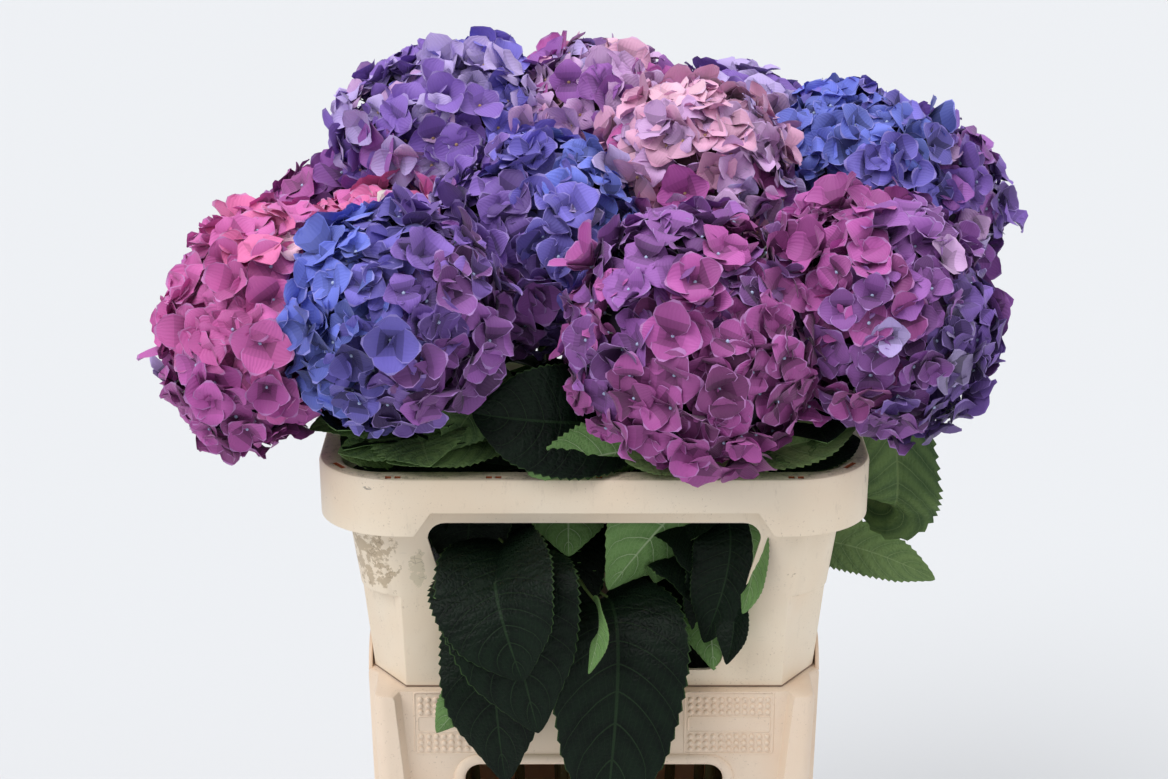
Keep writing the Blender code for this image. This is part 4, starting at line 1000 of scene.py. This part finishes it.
def inner_leaves(bloom, number):
    """Leaves packed in the collar, hanging along its wall, and two that lie out over the rim."""
    chance = random.Random(600 + number)
    path = stem_path(bloom)
    for height in INNER_LEAF_HEIGHTS:
        place = place_at(path, height + chance.uniform(-0.015, 0.015))
        turn = radians(bloom.azimuth) + chance.uniform(-0.9, 0.9)
        out = np.array([sin(turn), -cos(turn), 0.0])
        size = chance.uniform(0.8, 1.1)
        base = place + out * PACKED_START
        bend = base + out * 0.05 * size + np.array([0, 0, chance.uniform(0.01, 0.04)])
        tip = bend + out * 0.015 + np.array([0, 0, -0.075 * size])
        held_within(INNER_REACH, (base, bend, tip))
        for corner in (base, bend, tip):
            corner[:2] *= min(1.0, CORNER_REACH / np.abs(corner[:2]).dot(CORNER_WAY))
        face = unit(out + np.array([chance.uniform(-0.4, 0.4), chance.uniform(-0.4, 0.4), 0.35]))
        yield place, (base, bend, tip, PACKED_WIDTHS[0] * size, face)
    for side in (-1, 1):
        place = place_at(path, OVER_RIM_FROM + chance.uniform(-0.01, 0.015))
        turn = radians(bloom.azimuth) + side * chance.uniform(0.35, 0.9)
        out = np.array([sin(turn), -cos(turn), 0.0])
        size = chance.uniform(0.8, 1.1)
        base = place + out * PACKED_START
        bend = base + out * 0.055 * size + np.array([0, 0, chance.uniform(0.0, 0.02)])
        tip = bend + out * 0.045 * size + np.array([0, 0, chance.uniform(-0.02, 0.0)])
        held_within(OVER_RIM_REACH, (base, bend, tip))
        for corner in (base, bend, tip):
            corner[2] = max(corner[2], OVER_RIM_HEIGHT)
        face = unit(np.array([chance.uniform(-0.2, 0.2), chance.uniform(-0.4, 0.0), 1.0]))
        yield place, (base, bend, tip, PACKED_WIDTHS[1] * size, face)


def veined_leaf(name, blade, young, vein, rim, vein_share, rough):
    """Leaf skin on the blade's own places: U runs from base to tip and V across the rib.

    A side vein shows where U times the number of veins, less a power of the distance from the
    rib, is near a whole number. They thin out towards the rim.
    """
    material, tree, shader = new_finish(name)
    coordinates = node(tree, "ShaderNodeTexCoord")
    here = coordinates.outputs["Object"]
    place = node(tree, "ShaderNodeSeparateXYZ", (("Vector", coordinates.outputs["UV"]),))
    u, v = place.outputs["X"], place.outputs["Y"]
    side = calc(tree, "ABSOLUTE", calc(tree, "MULTIPLY_ADD", v, 2.0, -1.0))
    sweep = calc(tree, "MULTIPLY", calc(tree, "POWER", side, VEIN_CURVE), VEIN_SWEEP)
    phase = calc(tree, "SUBTRACT", calc(tree, "MULTIPLY", u, float(LEAF_VEINS)), sweep)
    off_line = calc(tree, "PINGPONG", phase, 0.5)
    width = ramp(tree, side, 0.0, 1.0, 0.040, 0.016)
    line = calc(tree, "SUBTRACT", 1.0, ramp(tree, calc(tree, "DIVIDE", off_line, width), 0.35, 1.0))
    middle = ramp(tree, side, 0.034, 0.014)
    finer = calc(tree, "MULTIPLY_ADD", side, 9.0, calc(tree, "MULTIPLY", u, 6.0))
    cross = ramp(tree, calc(tree, "PINGPONG", finer, 0.5), 0.055, 0.02, 0.0, 0.30)
    net = cell_edges(tree, here, 270.0)
    finest = calc(tree, "MAXIMUM", cross, ramp(tree, net, 0.09, 0.02, 0.0, 0.10))
    veins = calc(tree, "MAXIMUM", calc(tree, "MAXIMUM", line, middle), finest)
    clouds = ramp(tree, noise(tree, here, 30.0, 3.0), 0.35, 0.68, 0.0, 0.6)
    between = ramp(tree, off_line, 0.06, 0.42, 0.0, 0.55)
    colour = blend_colour(tree, calc(tree, "ADD", clouds, between), blade, young)
    colour = blend_colour(tree, calc(tree, "MULTIPLY", veins, vein_share), colour, vein)
    colour = blend_colour(tree, ramp(tree, side, 0.965, 0.990, 0.0, 0.45), colour, rim)
    puffed = calc(tree, "MULTIPLY_ADD", veins, -0.7, ramp(tree, net, 0.0, 0.35))
    fill_sockets(tree, shader, (("Base Color", colour), ("Roughness", rough),
                                ("Specular IOR Level", 0.12),
                                ("Normal", bump(tree, puffed, 0.0005, 0.5))))
    return material


leaf_top = veined_leaf("leaf_top", (0.0018, 0.0044, 0.0028), (0.0045, 0.0112, 0.0058),
                       (0.038, 0.080, 0.032), (0.060, 0.120, 0.035), 0.30, 0.46)
leaf_under = veined_leaf("leaf_under", (0.100, 0.200, 0.058), (0.155, 0.285, 0.092),
                         (0.36, 0.46, 0.27), (0.22, 0.31, 0.12), 0.80, 0.55)
leaf_fresh = veined_leaf("leaf_fresh", (0.046, 0.090, 0.034), (0.112, 0.185, 0.062),
                         (0.190, 0.270, 0.110), (0.120, 0.190, 0.055), 0.50, 0.48)
leaf_young = veined_leaf("leaf_young", (0.120, 0.195, 0.072), (0.185, 0.280, 0.100),
                         (0.30, 0.40, 0.18), (0.18, 0.27, 0.08), 0.55, 0.48)
leaf_stalk = flat_finish("leaf_stalk", (0.16, 0.24, 0.07), 0.5)


def foliage(bloom, number):
    """Points, places, faces and finish numbers of one stem's leaves with their stalks."""
    leaves, fresh = [], []
    for leaf in SHOWN_LEAVES:
        if leaf.stem == bloom.name:
            ribs = np.array([leaf.base, leaf.bend, leaf.tip])
            place = place_at(stem_path(bloom), leaf.height)
            leaves.append((place, (*ribs, leaf.width, unit(np.array(leaf.face)))))
            fresh.append(leaf.fresh)
    shown = len(leaves)
    leaves += list(paired_leaves(bloom, number))
    leaves += list(inner_leaves(bloom, number))
    fresh += [0] * (len(leaves) - shown)
    points, places, faces, finish, start = [], [], [], [], 0
    for order, (place, leaf) in enumerate(leaves):
        above = TOP_NUMBERS[fresh[order]]
        blade, blade_places, blade_faces, is_top = leaf_blade(
            *leaf, seed=50 * number + order, plain=order >= shown, coarse=fresh[order] > 0)
        marks = [above if top else UNDER_NUMBER for top in is_top]
        base, bend = leaf[0], leaf[1]
        into = base + (bend - base) * 0.10
        sag = np.array([0.0, 0.0, -0.12]) * np.linalg.norm(into - place)
        share = np.linspace(0, 1, len(PETIOLE_RADII))
        route = rib_curve(place, (place + into) / 2 + sag, into, share)
        stalk, stalk_faces = tube(route, PETIOLE_RADII, 8)
        for shape, on_shape, its_faces, numbers in (
                (blade, blade_places, blade_faces, marks),
                (stalk, np.zeros((len(stalk), 2)), stalk_faces, [STALK_NUMBER] * len(stalk_faces))):
            points.append(shape)
            places.append(on_shape)
            faces += [tuple(corner + start for corner in face) for face in its_faces]
            finish += numbers
            start += len(shape)
    return np.concatenate(points), np.concatenate(places), faces, finish


def lay_places(mesh, places):
    """Give every face corner its point's place on the surface."""
    corners = np.empty(len(mesh.loops), dtype=np.int32)
    mesh.loops.foreach_get("vertex_index", corners)
    mesh.uv_layers.new(name="surface").data.foreach_set("uv", places[corners].astype(np.float32).ravel())


for number, bloom in enumerate(BLOOMS):
    points, places, faces, finish = foliage(bloom, number)
    leaves = new_piece("foliage_" + bloom.name, points, faces, smooth=60)
    for material in (leaf_top, leaf_under, leaf_stalk, leaf_fresh, leaf_young):
        leaves.data.materials.append(material)
    leaves.data.polygons.foreach_set("material_index", np.array(finish, dtype=np.int32))
    lay_places(leaves.data, places)
    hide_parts("leaves_" + bloom.name)
    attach(leaves, "root")

# A mophead is a dome of 170 to 300 florets on thin stalks round a dark core, painted shade that
# fills the shadowed inside. Each floret has four broad sepals round a bead, and the colours run
# from rose through purple to blue.
SEPAL_LENGTH = 0.0196
SEPAL_HALF_WIDTH = 0.0119
SEPAL_U = np.array([0.0, 0.2, 0.43, 0.68, 0.92, 1.0])
SEPAL_V = np.array([-1.0, -0.94, -0.36, 0.36, 0.94, 1.0])
FLORET_DENSITY = 29500
LOWEST = -0.74
SEAT_DEPTH = 0.0160
SEAT_MARGIN = 0.006
DEEP_SHARE = 0.34
TILT = 0.28
FLORET_ROOM = 0.64
BLOOM_FLOOR = 0.5445
PRESSED = 2.2
BEAD_RADIUS = 0.0016
BEAD_RISE = 0.0010
PEDICEL_RADII = (0.0008, 0.0006)
SHADE_CORE_SHARE = 0.72
SHADE_CORE_MARGIN = 0.012

# The row of petal colours from rose to blue, then the pale ones from cream to lilac
PETAL_COLOURS = (
    (0.500, 0.115, 0.275), (0.430, 0.095, 0.290), (0.330, 0.072, 0.270), (0.220, 0.076, 0.290),
    (0.160, 0.085, 0.335), (0.130, 0.105, 0.415), (0.112, 0.140, 0.500), (0.078, 0.125, 0.500),
    (0.500, 0.455, 0.430), (0.590, 0.355, 0.455), (0.510, 0.265, 0.395), (0.410, 0.250, 0.445),
    (0.335, 0.260, 0.495),
)
FIRST_PALE = 8
TONE_LIMITS = (1, 5)
PETAL_TONES = (0.32, 0.52, 0.75, 0.98, 1.22, 1.50, 1.42)
RIM_TINT = (0.46, 0.38, 0.66)


def petal_finish(hue, tone):
    """One sepal colour: soft and matte with a faint sheen, and fine veins fanned from the base."""
    base = np.array(PETAL_COLOURS[hue]) * PETAL_TONES[tone]
    if tone == len(PETAL_TONES) - 1:
        base = base * 0.66 + np.array(RIM_TINT) * 0.34
    material, tree, shader = new_finish("petal_%d_%d" % (hue, tone))
    on_sepal = node(tree, "ShaderNodeTexCoord").outputs["UV"]
    across = node(tree, "ShaderNodeSeparateXYZ", (("Vector", on_sepal),)).outputs["Y"]
    fan = calc(tree, "PINGPONG", calc(tree, "MULTIPLY", across, 9.0), 0.5)
    fill_sockets(tree, shader, (("Base Color", np.clip(base, 0, 1)), ("Roughness", 0.55),
                                ("Specular IOR Level", 0.25), ("Sheen Weight", 0.15),
                                ("Normal", bump(tree, fan, 0.0006, 0.5))))
    return material


bead_finish = flat_finish("bead_finish", (0.45, 0.53, 0.76), 0.4)
pale_bead_finish = flat_finish("pale_bead_finish", (0.42, 0.26, 0.14), 0.5)
pedicel_finish = flat_finish("pedicel_finish", (0.22, 0.24, 0.20), 0.6)
# Painted shade: the colours of the dark core inside each bloom, a little lighter under the pale blooms.
shade_core_finish = flat_finish("shade_core_finish", (0.022, 0.012, 0.030), 0.8)
pale_shade_core_finish = flat_finish("pale_shade_core_finish", (0.085, 0.035, 0.050), 0.8)


def dome_reach(bloom, ways):
    """How far the bloom's outside is along unit vectors: an ellipsoid, flatter underneath."""
    along = ways @ bloom_axis(bloom)
    depth = np.where(along > 0, bloom.crown, bloom.under)
    return 1 / np.sqrt((along / depth) ** 2 + (1 - along ** 2).clip(0) / bloom.radius ** 2)


def pressed_back(bloom, points, margin):
    """Pull points towards the middle until they are clear of neighbouring blooms and the rim.

    The plane between two blooms stands square to the line through their middles and divides it
    as their outsides do. Returns the points and the share of the way that is left to each.
    """
    middle = np.array(bloom.centre)
    arms = points - middle
    share = np.ones(len(points))
    planes = [(np.array([0.0, 0.0, -1.0]), middle[2] - BLOOM_FLOOR)]
    for other in BLOOMS:
        line = np.array(other.centre) - middle
        apart = np.linalg.norm(line)
        if other is bloom or apart >= PRESSED * max(bloom.radius, other.radius):
            continue
        own = dome_reach(bloom, unit(line)[None])[0]
        theirs = dome_reach(other, -unit(line)[None])[0]
        planes.append((unit(line), apart * own / (own + theirs)))
    for normal, distance in planes:
        outwards = arms @ normal
        room = np.divide(distance - margin, outwards, out=np.ones_like(outwards), where=outwards > 1e-6)
        share = np.minimum(share, np.where(outwards > distance - margin, room, 1.0))
    return middle + arms * share[:, None], share


def sepals(chance, count):
    """Sepals of that many florets, as (count, 4, U, V, 3) about each floret's own axis.

    Along a sepal the rise is its slope times U less a droop times U squared, its sides curl with
    V squared, and it waves. Its half width is a power of a sine, broad with a blunt point.
    """
    shape = (count, 4, 1, 1)
    order = np.arange(4).reshape(1, 4, 1, 1)
    u = SEPAL_U[None, None, :, None]
    v = SEPAL_V[None, None, None, :]
    size = chance.uniform(0.68, 1.14, (count, 1, 1, 1)) * chance.uniform(0.9, 1.08, shape)
    slope = 0.25 + 1.15 * chance.beta(1.7, 2.1, (count, 1, 1, 1)) + chance.uniform(-0.20, 0.20, shape)
    slope = slope + order % 2 * 0.12
    droop = slope * chance.uniform(0.15, 0.95, (count, 1, 1, 1)) + chance.uniform(-0.05, 0.28, shape)
    curl = chance.uniform(-0.10, 0.38, shape)
    wave = chance.uniform(0.01, 0.06, shape) * np.sin(3.4 * v + chance.uniform(0, 6, shape)) * u ** 2
    width = np.sin(pi * (0.035 + 0.865 * u ** 0.8)) ** 0.75
    point = 0.05 * (1 - np.abs(v)) ** 2 * u ** 4
    length = SEPAL_LENGTH * size
    out = length * (u * (1 - 0.13 * v ** 2 * u) + point)
    aside = SEPAL_HALF_WIDTH * size * width * v
    twist = chance.uniform(-0.2, 0.2, shape)
    rise = length * (slope * u - droop * u ** 2 + curl * (v * width) ** 2 + wave) + aside * twist * u
    rise = rise + order % 2 * 0.0009
    turn = order * pi / 2 + chance.uniform(-0.14, 0.14, shape)
    x = out * np.cos(turn) - aside * np.sin(turn)
    y = out * np.sin(turn) + aside * np.cos(turn)
    return np.stack([x, y, rise], axis=-1)


def grid_quads(rows, columns):
    """Quads of a grid of points, facing up where rows run outwards and columns to the left."""
    k = np.arange(rows * columns).reshape(rows, columns)
    return np.stack([k[:-1, :-1], k[1:, :-1], k[1:, 1:], k[:-1, 1:]], axis=-1).reshape(-1, 4)


def unit_ball(fineness):
    """Points and faces of a ball of triangles with radius one."""
    work = bmesh.new()
    bmesh.ops.create_icosphere(work, subdivisions=fineness, radius=1.0)
    points = np.array([vertex.co[:] for vertex in work.verts])
    faces = np.array([[vertex.index for vertex in face.verts] for face in work.faces])
    work.free()
    return points, faces


def repeat_faces(faces, pieces, step, start):
    """The same faces for every repeated piece, their corner numbers moved on by step each time."""
    return ((np.arange(pieces) * step + start)[:, None, None] + faces[None]).reshape(-1, faces.shape[1])


def petal_hues(bloom, ways, chance):
    """The colour number and tone of each floret, by its place on the bloom and with scatter.

    The hue runs to the right as a hyperbolic tangent and upwards in proportion, with a slow
    sine drift. The tone is painted light and shade: lighter upwards, where the light falls, and
    darker to the right, away from the light.
    """
    hue = bloom.hue + bloom.aside * np.tanh(2.2 * ways[:, 0]) + bloom.rise * ways[:, 2]
    drift = np.sin(ways @ chance.normal(0, 2.6, 3) + chance.uniform(0, 6)) * bloom.spread * 0.5
    hue = hue + drift + chance.normal(0, bloom.spread * 0.4, len(ways))
    hue = hue + chance.uniform(-0.3, 0.3, len(ways))
    number = np.clip(np.round(hue), 0, FIRST_PALE - 1).astype(int)
    pale = chance.random(len(ways)) < bloom.pale * (0.75 + 0.4 * ways[:, 2].clip(-0.5, 1))
    pale_number = np.clip(np.round(FIRST_PALE + 1.0 + hue * 0.75 + chance.normal(0, 0.5, len(ways))),
                          FIRST_PALE, len(PETAL_COLOURS) - 1).astype(int)
    # Painted light and shade: the tone rises towards the top of the bloom, where the light falls, and
    # drops to the right, away from it; only the scatter is the florets' own.
    tone = bloom.tone + 0.8 * ways[:, 2] - 0.6 * ways[:, 0] + chance.normal(0, 0.6, len(ways))
    tone = np.clip(np.round(tone), *TONE_LIMITS).astype(int)
    return np.where(pale, pale_number, number), tone


def floret_seats(bloom, chance):
    """Directions and seats of the florets, spread evenly over the dome at uneven depths.

    Each floret turns on by the golden angle and comes down the bloom's axis by an equal step.
    Those that the neighbouring blooms leave too little room are left out.
    """
    middle = np.array(bloom.centre)
    axis = bloom_axis(bloom)
    aside = unit(np.cross(axis, OFF_AXIS))
    over = np.cross(axis, aside)
    count = int(FLORET_DENSITY * bloom.radius * (bloom.radius + bloom.crown) / 2)
    k = np.arange(count)
    along = 1 - (1 - LOWEST) * (k + 0.5) / count
    turn = k * pi * (3 - sqrt(5)) + chance.uniform(-0.12, 0.12, count)
    along = np.clip(along + chance.uniform(-0.03, 0.03, count), LOWEST, 0.999)
    across = np.sqrt(1 - along ** 2)
    ways = (axis[None] * along[:, None] + aside[None] * (np.cos(turn) * across)[:, None]
            + over[None] * (np.sin(turn) * across)[:, None])
    reach = dome_reach(bloom, ways)
    depth = SEAT_DEPTH + np.where(chance.random(count) < DEEP_SHARE, chance.uniform(0.006, 0.015, count),
                                  chance.uniform(-0.004, 0.005, count))
    seats, share = pressed_back(bloom, middle + ways * (reach - depth)[:, None], SEAT_MARGIN)
    keep = share > FLORET_ROOM
    return ways[keep], seats[keep]


def sepal_tones(tone, chance):
    """The tone of every sepal face: darker at the base, partly the sepal's own colour and partly painted
    shade in the floret's throat, lighter outwards, with a rim.
    """
    rows, columns = len(SEPAL_U), len(SEPAL_V)
    row = np.repeat(np.arange(rows - 1), columns - 1)
    column = np.tile(np.arange(columns - 1), rows - 1)
    is_rim = (column == 0) | (column == columns - 2) | (row == rows - 2)
    # Partly painted shade: the two rows at the base are two and one tones darker, for the sepal's own
    # darker centre and for the shade deep in the floret.
    change = np.where(is_rim, 1, np.choose(row, [-2, -1, 0, 0, 0]))[None, None, :]
    outer = (row >= 2)[None, None, :] & (chance.random((len(tone), 1, 1)) < 0.6)
    face_tone = tone[:, None, None] + chance.integers(-1, 2, (len(tone), 4, 1)) + outer
    face_tone = np.clip(face_tone + change, 0, len(PETAL_TONES) - 2)
    light_rim = is_rim[None, None, :] & (chance.random((len(tone), 1, 1)) < 0.65)
    return np.where(light_rim, len(PETAL_TONES) - 1, face_tone)


def bloom_piece(bloom, seed):
    """One mophead: florets over a dark core of painted shade, with their stalks."""
    chance = np.random.default_rng(seed)
    middle = np.array(bloom.centre)
    ways, seats = floret_seats(bloom, chance)
    count = len(ways)
    facing = unit(ways + chance.normal(0, TILT, (count, 3)))
    first = unit(np.cross(facing, unit(chance.normal(0, 1, (count, 3)))))
    second = np.cross(facing, first)
    frames = np.stack([first, second, facing], axis=1)
    local = sepals(chance, count)
    points = np.einsum("nsuvk,nkd->nsuvd", local, frames) + seats[:, None, None, None]
    rows, columns = len(SEPAL_U), len(SEPAL_V)
    quads = grid_quads(rows, columns)
    sepal_faces = repeat_faces(quads, count * 4, rows * columns, 0)
    hue, tone = petal_hues(bloom, ways, chance)
    colour = hue[:, None, None] * len(PETAL_TONES) + sepal_tones(tone, chance)
    used, slots = np.unique(colour.ravel(), return_inverse=True)

    bead_points, bead_faces = unit_ball(1)
    beads = seats[:, None] + facing[:, None] * BEAD_RISE + bead_points[None] * BEAD_RADIUS
    start = points.size // 3
    all_beads = repeat_faces(bead_faces, count, len(bead_points), start)
    start += beads.size // 3
    ring = np.arange(3) * 2 * pi / 3
    around = first[:, None] * np.cos(ring)[None, :, None] + second[:, None] * np.sin(ring)[None, :, None]
    roots = middle + (seats - middle) * SHADE_CORE_SHARE * 0.9
    pedicels = np.concatenate([end[:, None] + around * radius
                               for end, radius in zip((roots, seats), PEDICEL_RADII)], axis=1)
    all_pedicels = repeat_faces(ring_faces(2, 3, False), count, 6, start)
    start += pedicels.size // 3

    # The dark core is painted shade: a dark mass inside the bloom that shows as shadow in the gaps between
    # the florets.
    shade_core_points, shade_core_faces = unit_ball(3)
    directions = unit(shade_core_points)
    shade_core_points = middle + directions * (dome_reach(bloom, directions) * SHADE_CORE_SHARE)[:, None]
    shade_core_points, _ = pressed_back(bloom, shade_core_points, SHADE_CORE_MARGIN)

    everything = np.concatenate([shape.reshape(-1, 3) for shape in (points, beads, pedicels, shade_core_points)])
    groups = (sepal_faces, all_beads, all_pedicels, shade_core_faces + start)
    faces = [tuple(face) for group in groups for face in group]
    piece = new_piece("florets_" + bloom.name, everything, faces, smooth=80)
    for number in used:
        key = divmod(int(number), len(PETAL_TONES))
        if key not in petal_finishes:
            petal_finishes[key] = petal_finish(*key)
        piece.data.materials.append(petal_finishes[key])
    is_pale = bloom.pale > 0.5
    for material in (pale_bead_finish if is_pale else bead_finish, pedicel_finish,
                     pale_shade_core_finish if is_pale else shade_core_finish):
        piece.data.materials.append(material)
    others = np.repeat(np.arange(3), [len(group) for group in groups[1:]]) + len(used)
    finish = np.concatenate([slots.ravel(), others])
    piece.data.polygons.foreach_set("material_index", finish.astype(np.int32))
    places = np.zeros((len(everything), 2))
    grid = np.stack(np.meshgrid(SEPAL_U, SEPAL_V / 2 + 0.5, indexing="ij"), axis=-1).reshape(-1, 2)
    places[:count * 4 * rows * columns] = np.tile(grid, (count * 4, 1))
    lay_places(piece.data, places)
    return piece


def bloom_stalk(bloom):
    """The stalk from the leafy stem into the dark core of painted shade."""
    axis = bloom_axis(bloom)
    middle = np.array(bloom.centre)
    low = middle - axis * (bloom.under + STALK - GAP)
    return tube(np.linspace(low, middle, 6), np.linspace(STALK_RADIUS, STALK_TIP, 6), STEM_SIDES)


petal_finishes = {}
stalk_skin = woody_green("stalk_skin", (0.15, 0.20, 0.06), (0.20, 0.25, 0.10), 0.55, 0.70)
stalks = []
for number, bloom in enumerate(BLOOMS):
    florets = bloom_piece(bloom, 900 + number)
    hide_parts("bloom_" + bloom.name)
    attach(florets, "root")
    points, faces = bloom_stalk(bloom)
    stalks.append(new_piece("stalk", points, faces))
stalks = join_pieces("bloom_stalks", stalks)
stalks.data.materials.append(stalk_skin)
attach(stalks, "root")

# The stage is a pale matte floor under a pale sky, with three wide soft suns: the main one from
# the upper left, one from nearly straight above, and a weak one from the right. The camera
# stands in front, higher than the blooms, and looks down.
CAMERA_PLACE = (-0.0076, -1.9425, 1.1749)
CAMERA_PITCH = 17.6
CAMERA_LENS = 81.2
FLOOR_HALF = 14.0
SUN_FROM = (-0.60, -0.50, 1.0)
SUN_POWER = 1.75
TOP_FROM = (0.05, 0.15, 1.0)
TOP_POWER = 1.3
SIDE_FROM = (0.90, -0.25, 0.6)
SIDE_POWER = 0.40
SUN_ANGLE = 45.0
SKY = 0.50
SKY_COLOUR = (0.95, 0.97, 1.0)
FLOOR_COLOUR = (0.615, 0.625, 0.642)

floor_finish, floor_tree, floor_shader = new_finish("floor_finish")
fill_sockets(floor_tree, floor_shader, (("Base Color", FLOOR_COLOUR), ("Roughness", 0.9)))
corners = [(-FLOOR_HALF, -FLOOR_HALF, 0), (FLOOR_HALF, -FLOOR_HALF, 0),
           (FLOOR_HALF, FLOOR_HALF, 0), (-FLOOR_HALF, FLOOR_HALF, 0)]
floor = new_piece("floor", corners, [(0, 1, 2, 3)])
floor.data.materials.append(floor_finish)

for name, way, power in (("soft_sun", SUN_FROM, SUN_POWER), ("top_light", TOP_FROM, TOP_POWER),
                         ("side_light", SIDE_FROM, SIDE_POWER)):
    light = bpy.data.lights.new(name, "SUN")
    light.energy = power
    light.angle = radians(SUN_ANGLE)
    sun = bpy.data.objects.new(name, light)
    sun.rotation_euler = Vector(way).to_track_quat("Z", "Y").to_euler()
    bpy.context.scene.collection.objects.link(sun)

world = bpy.data.worlds.new("studio")
world.use_nodes = True
fill_sockets(world.node_tree, world.node_tree.nodes["Background"],
             (("Color", SKY_COLOUR), ("Strength", SKY)))
bpy.context.scene.world = world
bpy.context.scene.view_settings.view_transform = "Standard"

lens = bpy.data.cameras.new("camera")
lens.lens = CAMERA_LENS
lens.sensor_width = 36.0
lens.clip_end = 60.0
camera = bpy.data.objects.new("camera", lens)
camera.location = CAMERA_PLACE
camera.rotation_euler = (radians(90 - CAMERA_PITCH), 0, 0)
bpy.context.scene.collection.objects.link(camera)
bpy.context.scene.camera = camera
